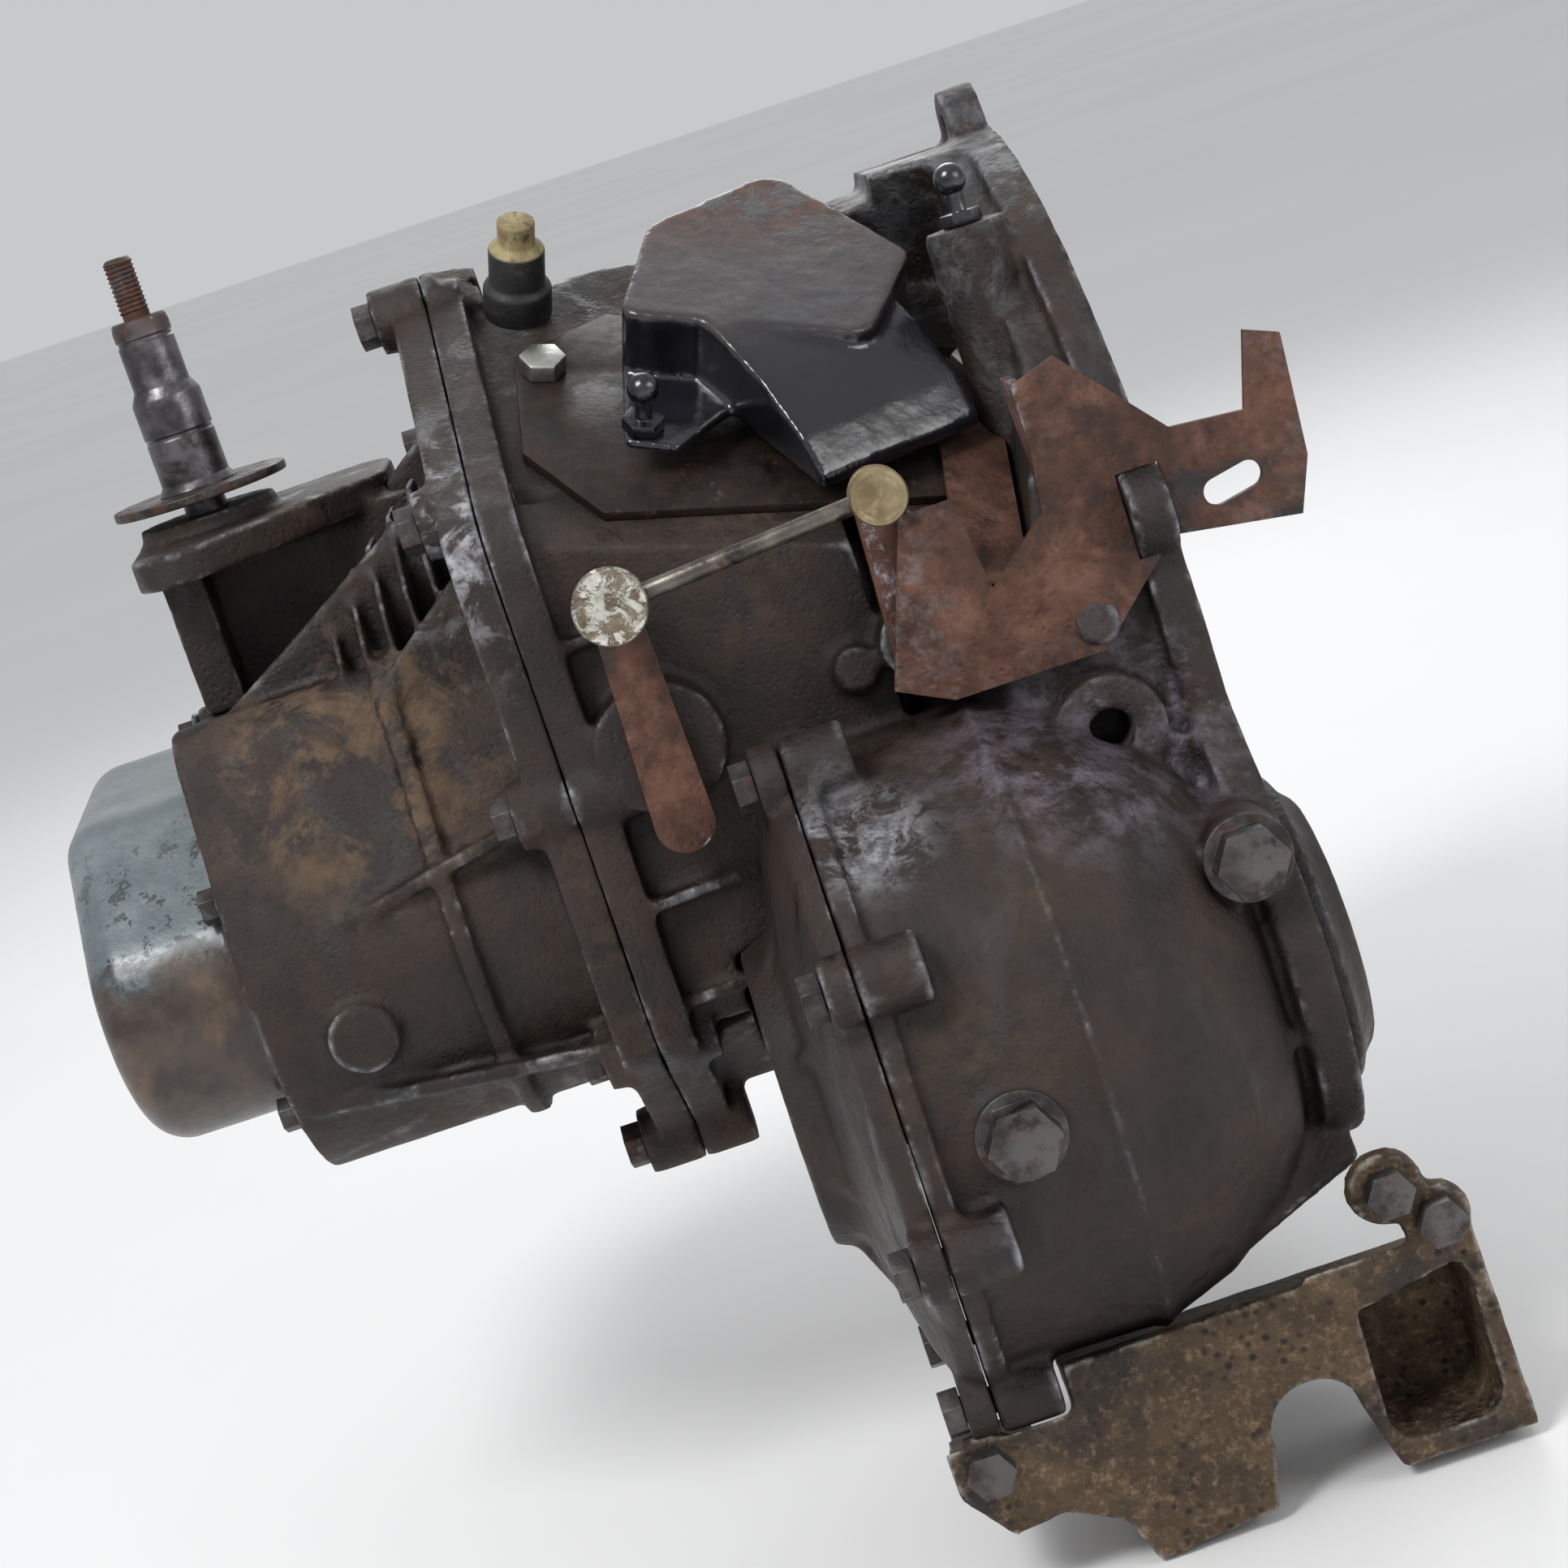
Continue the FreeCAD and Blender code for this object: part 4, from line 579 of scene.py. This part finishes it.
def housing_details(mesh):
    """Cast webs, pads and bosses on the clutch housing."""
    final = middle_of("crown_wheel")
    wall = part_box("clutch_housing")[0].x + JOINT_FLANGE
    for y, z, reach in ((-148, 62, 30), (-149, -20, 34), (-146, -52, 40)):
        append_prism(mesh, [(wall, y * MM, z * MM), (wall + reach * MM, (y + 8) * MM, z * MM),
                            (wall + reach * MM, (y + 26) * MM, z * MM), (wall, (y + 26) * MM, z * MM)],
                     (0, 0, 4 * MM))
    for angle in range(112, 242, 16):
        turn = math.radians(angle)
        out = Vector((0, math.cos(turn), math.sin(turn)))
        side = Vector((0, -math.sin(turn), math.cos(turn))) * 2 * MM
        start = Vector((final.x - 20 * MM, final.y, final.z)) + out * 96 * MM - side
        append_prism(mesh, [start, start + Vector((12 * MM, 0, 0)), start + out * 4.5 * MM], side * 2)
    for x, y, z, radius, length in ((-100, -140, 30, 8, 8), (-58, -150, -24, 7, 10), (-30, -158, 24, 8, 6)):
        append_boss(mesh, (x * MM, y * MM, z * MM), (0, -1, 0.15), radius * MM, length * MM, taper=0.85)
    for z in (-62, -78, -94):
        append_prism(mesh, [(-16 * MM, -200 * MM, z * MM), (-50 * MM, -214 * MM, z * MM),
                            (-50 * MM, -200 * MM, z * MM), (-16 * MM, -180 * MM, z * MM)], (0, 0, 4 * MM))


def gear_casing_details(mesh):
    """Long web up to the joint flange, thin fins under the mount and a drain boss."""
    end, joint = (corner.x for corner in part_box("gear_casing"))
    joint -= JOINT_FLANGE
    append_prism(mesh, [(end + 6 * MM, -112 * MM, 20 * MM), (joint, -112 * MM, 92 * MM),
                        (joint, -112 * MM, 60 * MM), (end + 6 * MM, -112 * MM, 2 * MM)], (0, 6 * MM, 0))
    append_prism(mesh, [(end + 6 * MM, -130 * MM, -6 * MM), (joint, -142 * MM, 16 * MM),
                        (joint, -118 * MM, 12 * MM), (end + 6 * MM, -118 * MM, -6 * MM)], (0, 0, 5 * MM))
    append_prism(mesh, [(end + 6 * MM, -128 * MM, -52 * MM), (joint, -140 * MM, -60 * MM),
                        (joint, -112 * MM, -64 * MM), (end + 6 * MM, -112 * MM, -56 * MM)], (0, 0, 5 * MM))
    for step in range(5):
        x = joint - (10 + 9 * step) * MM
        height = (118 - 7 * step) * MM
        append_prism(mesh, [(x, -104 * MM, 60 * MM), (x, -104 * MM, height - 22 * MM), (x, -78 * MM, height),
                            (x, -50 * MM, height), (x, -50 * MM, 60 * MM)], (2.6 * MM, 0, 0))
    append_boss(mesh, (end + 30 * MM, -134 * MM, -30 * MM), (0, -1, 0), 12 * MM, 6 * MM, taper=0.9)


def final_cover_details(mesh):
    """Fine casting steps round the bearing hub of the final-drive cover."""
    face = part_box("differential_cover")[0].x
    centre = middle_of("crown_wheel")
    for index in range(12):
        turn = math.radians(10 + 30 * index)
        out = Vector((0, math.cos(turn), math.sin(turn)))
        side = Vector((0, -math.sin(turn), math.cos(turn))) * 1.5 * MM
        if out.dot(Vector((0, 0.6, 0.8))) > 0.35:
            continue
        start = Vector((face + 10 * MM, centre.y, centre.z)) + out * 46 * MM - side
        append_prism(mesh, [start, start + out * 30 * MM + Vector((6 * MM, 0, 0)),
                            start + out * 30 * MM + Vector((14 * MM, 0, 0)),
                            start + Vector((14 * MM, 0, 0))], side * 2)


def lower_bracket_details(mesh):
    """Raised borders and a web on the bracket's face."""
    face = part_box("lower_bracket")[0].y
    for x, z, radius in ((-4, -150, 12), (8, -163, 11), (-137, -193, 11)):
        append_boss(mesh, (x * MM, face + 6 * MM, z * MM), (0, -1, 0), radius * MM, 6 * MM, taper=0.92)
    append_prism(mesh, [(-20 * MM, face + 4 * MM, -178 * MM), (14 * MM, face + 4 * MM, -172 * MM),
                        (14 * MM, face + 4 * MM, -177 * MM), (-20 * MM, face + 4 * MM, -183 * MM)],
                 (0, -4 * MM, 0))


# ---------------------------------------------------------------- turned and threaded pieces

def lathe(name, profile, place, direction, sides=64, thread=None):
    """Surface of revolution from (along, radius) points in mm; thread = (start, end, pitch, depth)."""
    axis = Vector(direction).normalized()
    across = axis.orthogonal().normalized()
    up = axis.cross(across)
    points = []
    for (first, near_radius), (second, far_radius) in zip(profile, profile[1:]):
        threaded = thread and first >= thread[0] and second <= thread[1] and first != second
        steps = max(1, int(abs(second - first) / (thread[2] / 8))) if threaded else 1
        for step in range(steps):
            share = step / steps
            points.append((first + (second - first) * share, near_radius + (far_radius - near_radius) * share,
                           bool(threaded)))
    points.append((*profile[-1], False))
    verts = []
    for along, radius, cut in points:
        for side in range(sides):
            turn = 2 * math.pi * side / sides
            size = radius
            if cut:
                phase = ((along - thread[0]) / thread[2] - side / sides) % 1.0
                size = radius - thread[3] * (1 - abs(2 * phase - 1))
            out = across * math.cos(turn) + up * math.sin(turn)
            verts.append(Vector(place) + (axis * along + out * size) * MM)
    faces = []
    for row in range(len(points) - 1):
        for side in range(sides):
            following = (side + 1) % sides
            faces.append((row * sides + side, row * sides + following,
                          (row + 1) * sides + following, (row + 1) * sides + side))
    mesh = bpy.data.meshes.new(name)
    mesh.from_pydata(verts, [], faces)
    work = bmesh.new()
    work.from_mesh(mesh)
    bmesh.ops.remove_doubles(work, verts=work.verts, dist=1e-7)
    bmesh.ops.holes_fill(work, edges=[edge for edge in work.edges if edge.is_boundary], sides=sides)
    bmesh.ops.recalc_face_normals(work, faces=work.faces)
    work.to_mesh(mesh)
    work.free()
    piece = bpy.data.objects.new(name, mesh)
    bpy.context.scene.collection.objects.link(piece)
    smooth_shaded(piece, 32)
    return piece


def mount_stud(material):
    """Stepped stud with a rolled thread at its tip."""
    low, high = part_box("mount_stud")
    base = Vector(((low.x + high.x) / 2, (low.y + high.y) / 2, 0.0))
    total = (high.z - low.z) / MM
    seat = total - 80
    foot = [(0, 0.01), (0, 6.6), (0.8, 7), (seat, 7)]
    above = [(0, 12.6), (0.6, 13), (3.4, 13), (4, 12.6), (5.6, 11.6), (6, 11.3), (20, 11.3),
             (20.6, 10.9), (21.4, 10.9), (22, 11.4), (33.4, 11.4), (34.4, 11), (37, 9.6), (37.6, 9.3),
             (52, 9.3), (52.6, 8.8), (53.6, 8.8), (54.2, 9.4), (57, 9.4), (59.4, 9), (60, 8.4), (60, 4.4),
             (61.5, 4.4), (62, 4.95), (78.4, 4.95), (79.6, 4), (80, 3.2), (80, 0.01)]
    profile = foot + [(seat + along, radius) for along, radius in above]
    piece = lathe("mount_stud_threaded", profile, base + Vector((0, 0, low.z)), (0, 0, 1),
                  thread=(seat + 62, seat + 78.4, 1.5, 0.75))
    return dress(piece, ["mount_stud"], material)


def rod_sockets(materials):
    """Pressed caps with a rolled rim and a domed face, one at each end of the link rod."""
    low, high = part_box("rod_sockets")
    depth = (high.y - low.y) / MM
    half_way = (low.x + high.x) / 2
    corners = [vertex.co for vertex in NODES["rod_sockets"].data.vertices]
    left = [corner for corner in corners if corner.x < half_way]
    right = [corner for corner in corners if corner.x >= half_way]
    pieces = []
    for index, (points, radius) in enumerate(((left, 11.0), (right, 8.5))):
        centre = Vector(((min(p.x for p in points) + max(p.x for p in points)) / 2, high.y,
                         (min(p.z for p in points) + max(p.z for p in points)) / 2))
        profile = [(0.2, 4.2), (0, 4.8), (0, radius - 1.2), (0.6, radius - 0.3), (1.6, radius - 0.1),
                   (2.4, radius - 0.8), (depth - 3.4, radius - 0.9), (depth - 2.6, radius - 0.2),
                   (depth - 1.6, radius), (depth - 0.7, radius - 0.5), (depth - 0.4, radius - 1.6),
                   (depth - 0.7, radius - 2.4), (depth - 0.25, radius * 0.55), (depth, 0.01)]
        piece = lathe("rod_socket_cap_%d" % (index + 1), profile, centre, (0, -1, 0))
        piece.data.materials.append(materials[index])
        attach(piece, body_of("rod_sockets"))
        pieces.append(piece)
    for piece in pieces:
        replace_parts(piece, "rod_sockets")


# ---------------------------------------------------------------- building the object

def build_castings():
    """The cast pieces, each remeshed into one skin."""
    housing = housing_material()
    dusty = oily_casting("gear_casing_casting", 0.03, 0.03, (
        ((-0.199, -0.13, 0.11), 0.035, 0.03, BARE_DARK, BARE, 0.006, 0.32, 0.85, 0.46),
        ((-0.25, -0.118, 0.05), 0.045, 0.02, DUST, TAN, 0.01, 0.75, 0.0, 0.45)))
    cover = oily_casting("differential_cover_casting", 0.02, 0.02)
    rim = oily_casting("output_housing_casting", -0.02, 0.06)
    bracket = oily_casting("mount_bracket_casting", 0.06, 0.05)
    cast("clutch_housing", housing, 1.5 * MM, housing_details, 5, 230000)
    cast("gear_casing", dusty, 1.5 * MM, gear_casing_details, 5, 130000)
    cast("differential_cover", cover, 1.4 * MM, final_cover_details, 5, 70000)
    cast("output_housing", rim, 1.2 * MM, None, 4, 24000)
    cast("mount_bracket", bracket, 1.2 * MM, None, 7, 50000)
    cast("lower_bracket", tan_casting(), 1.3 * MM, lower_bracket_details, 6, 80000, 0.0006)


def build_pressed_and_painted():
    """End cover, black weight, and the pressed steel brackets and levers."""
    sheet = rusty_sheet("pressed_bracket_rust", 0.05)
    cast("end_cover", chipped_paint(), 1.1 * MM, None, 4, 60000, 0.0002)
    cast("selector_weight", gloss_black(), 1.0 * MM, None, 22, 60000, 0.0004)
    bevelled("cable_bracket", 0.9 * MM, sheet)
    bevelled("select_lever", 0.8 * MM, rusty_sheet("select_lever_rust"))
    bevelled("bellcrank", 0.8 * MM, sheet)
    bevelled("selector_plate", 0.7 * MM, steel("deck_plate_steel", GRIME_DARK, GRIME, 0.5, 0.2, 0.03, 0.12))


def build_fittings():
    """Studs, bolts, plugs, ball studs, switch and link rod."""
    dark = steel("dark_bolt_steel", (0.05, 0.045, 0.045), (0.13, 0.12, 0.12), 0.42, 0.8, 0.08, 0.14)
    zinc = steel("bright_bolt_zinc", (0.36, 0.36, 0.33), (0.58, 0.58, 0.54), 0.3, 0.95, 0.0, -0.02)
    ball = steel("ball_stud_chrome", (0.05, 0.05, 0.055), (0.11, 0.11, 0.12), 0.16, 0.95, 0.0, 0.05)
    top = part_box("mount_stud")[1].z
    tip = steel("stud_steel", (0.06, 0.055, 0.06), (0.16, 0.15, 0.16), 0.3, 0.9, 0.0, 0.1,
                lambda graph: graph.times(graph.step(graph.axis("Z"), top - 0.03, top - 0.018),
                                          graph.step(graph.noise(0.004, 7), 0.35, 0.5)))
    washer = steel("washer_steel", (0.035, 0.03, 0.03), (0.1, 0.09, 0.09), 0.45, 0.7, 0.12, 0.16)
    rod = steel("link_rod_steel", (0.09, 0.08, 0.07), (0.2, 0.18, 0.15), 0.34, 0.85, 0.04, 0.1)
    mount_stud(tip)
    bevelled("mount_washer", 0.6 * MM, washer)
    bevelled("casing_bolts", 0.6 * MM, dark)
    bevelled("selector_bolts", 0.6 * MM, zinc)
    bevelled("oil_plugs", 0.9 * MM, dark)
    bevelled("gear_ball_stud", 0.3 * MM, ball)
    bevelled("fixed_ball_studs", 0.3 * MM, ball)
    bevelled("link_rod", 0.4 * MM, rod)
    bevelled("reverse_light_switch", 0.8 * MM, switch_plastic())
    yellow = steel("right_cap_yellow", (0.2, 0.15, 0.08), (0.36, 0.29, 0.17), 0.36, 0.7, 0.0, 0.02)
    rod_sockets((worn_cap(), yellow))


def build_inside():
    """Materials on the pieces that the casings enclose, which keep their own meshes."""
    gears = steel("gear_steel_oiled", (0.2, 0.2, 0.2), (0.42, 0.42, 0.43), 0.24, 0.95, -0.1, 0.04)
    brass = plain_part("baulk_ring_brass", (0.32, 0.19, 0.06), (0.55, 0.36, 0.13), 0.32, 0.9, 0.0)
    rubber = plain_part("seal_rubber_oiled", (0.008, 0.007, 0.007), (0.02, 0.017, 0.015), 0.5, 0.0, 0.1)
    shaft = steel("input_spline_steel", (0.14, 0.13, 0.13), (0.36, 0.35, 0.35), 0.3, 0.95, 0.06, 0.06)
    forged = steel("clutch_fork_forging", (0.03, 0.026, 0.025), (0.085, 0.07, 0.06), 0.55, 0.6, 0.1, 0.1)
    special = {"baulk_rings": brass, "output_seals": rubber, "input_shaft": shaft, "clutch_fork": forged,
               "release_guide_tube": forged, "dowels": shaft}
    done = {replaced for item in bpy.data.objects for replaced in item.get("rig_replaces", [])}
    for name, node in NODES.items():
        if name not in done:
            node.data.materials.clear()
            node.data.materials.append(special.get(name, gears))


# ---------------------------------------------------------------- floor, light and camera

VIEW_TARGET = Vector((-0.131, 0.0, -0.026))
VIEW_ELEVATION = math.radians(12)
VIEW_ROLL = math.radians(18.4)
VIEW_DISTANCE = 1.1
SENSOR_MM = 36.0
LENS_MM = 73.8
FLOOR_REACH = 40.0
FLOOR_GAP = 0.0005
SKY_COLOUR = (0.93, 0.94, 0.96, 1)
SKY_STRENGTH = 0.62
LAMPS = (  # name, place, width in metres, watts
    ("key", (-0.9, -1.1, 1.5), 0.6, 24),
    ("fill", (1.3, -1.2, 0.7), 0.8, 9),
    ("back", (0.1, 1.5, 1.1), 1.0, 12),
)


def studio():
    """Pale floor, even sky and three soft lamps."""
    floor_mesh = bpy.data.meshes.new("floor")
    height = Vector(CAD_BOX[0]).z - FLOOR_GAP
    corners = [(x * FLOOR_REACH, y * FLOOR_REACH, height) for x, y in ((-1, -1), (1, -1), (1, 1), (-1, 1))]
    floor_mesh.from_pydata(corners, [], [(0, 1, 2, 3)])
    floor = bpy.data.objects.new("floor", floor_mesh)
    bpy.context.scene.collection.objects.link(floor)
    floor_mesh.materials.append(floor_material())
    world = bpy.data.worlds.new("soft_studio")
    world.use_nodes = True
    world.node_tree.nodes["Background"].inputs["Color"].default_value = SKY_COLOUR
    world.node_tree.nodes["Background"].inputs["Strength"].default_value = SKY_STRENGTH
    bpy.context.scene.world = world
    for name, spot, size, power in LAMPS:
        lamp = bpy.data.lights.new(name, "AREA")
        lamp.size = size
        lamp.energy = power
        light = bpy.data.objects.new(name, lamp)
        light.location = Vector(spot)
        light.rotation_euler = (VIEW_TARGET - Vector(spot)).to_track_quat("-Z", "Y").to_euler()
        bpy.context.scene.collection.objects.link(light)


def camera():
    """Looks along +Y and 12 degrees down, rolled so that the input axis rises to the right."""
    back = Vector((0, -math.cos(VIEW_ELEVATION), math.sin(VIEW_ELEVATION)))
    level_up = Vector((0, math.sin(VIEW_ELEVATION), math.cos(VIEW_ELEVATION)))
    level_right = Vector((1, 0, 0))
    right = level_right * math.cos(VIEW_ROLL) - level_up * math.sin(VIEW_ROLL)
    up = level_right * math.sin(VIEW_ROLL) + level_up * math.cos(VIEW_ROLL)
    lens = bpy.data.cameras.new("camera")
    lens.sensor_width = SENSOR_MM
    lens.lens = LENS_MM
    lens.clip_start = 0.02
    lens.clip_end = 200
    eye = bpy.data.objects.new("camera", lens)
    turn = Matrix((right, up, back)).transposed().to_4x4()
    eye.matrix_world = Matrix.Translation(VIEW_TARGET + back * VIEW_DISTANCE) @ turn
    bpy.context.scene.collection.objects.link(eye)
    bpy.context.scene.camera = eye


bpy.context.scene.view_settings.view_transform = "Standard"
camera()
studio()
build_castings()
build_pressed_and_painted()
build_fittings()
build_inside()
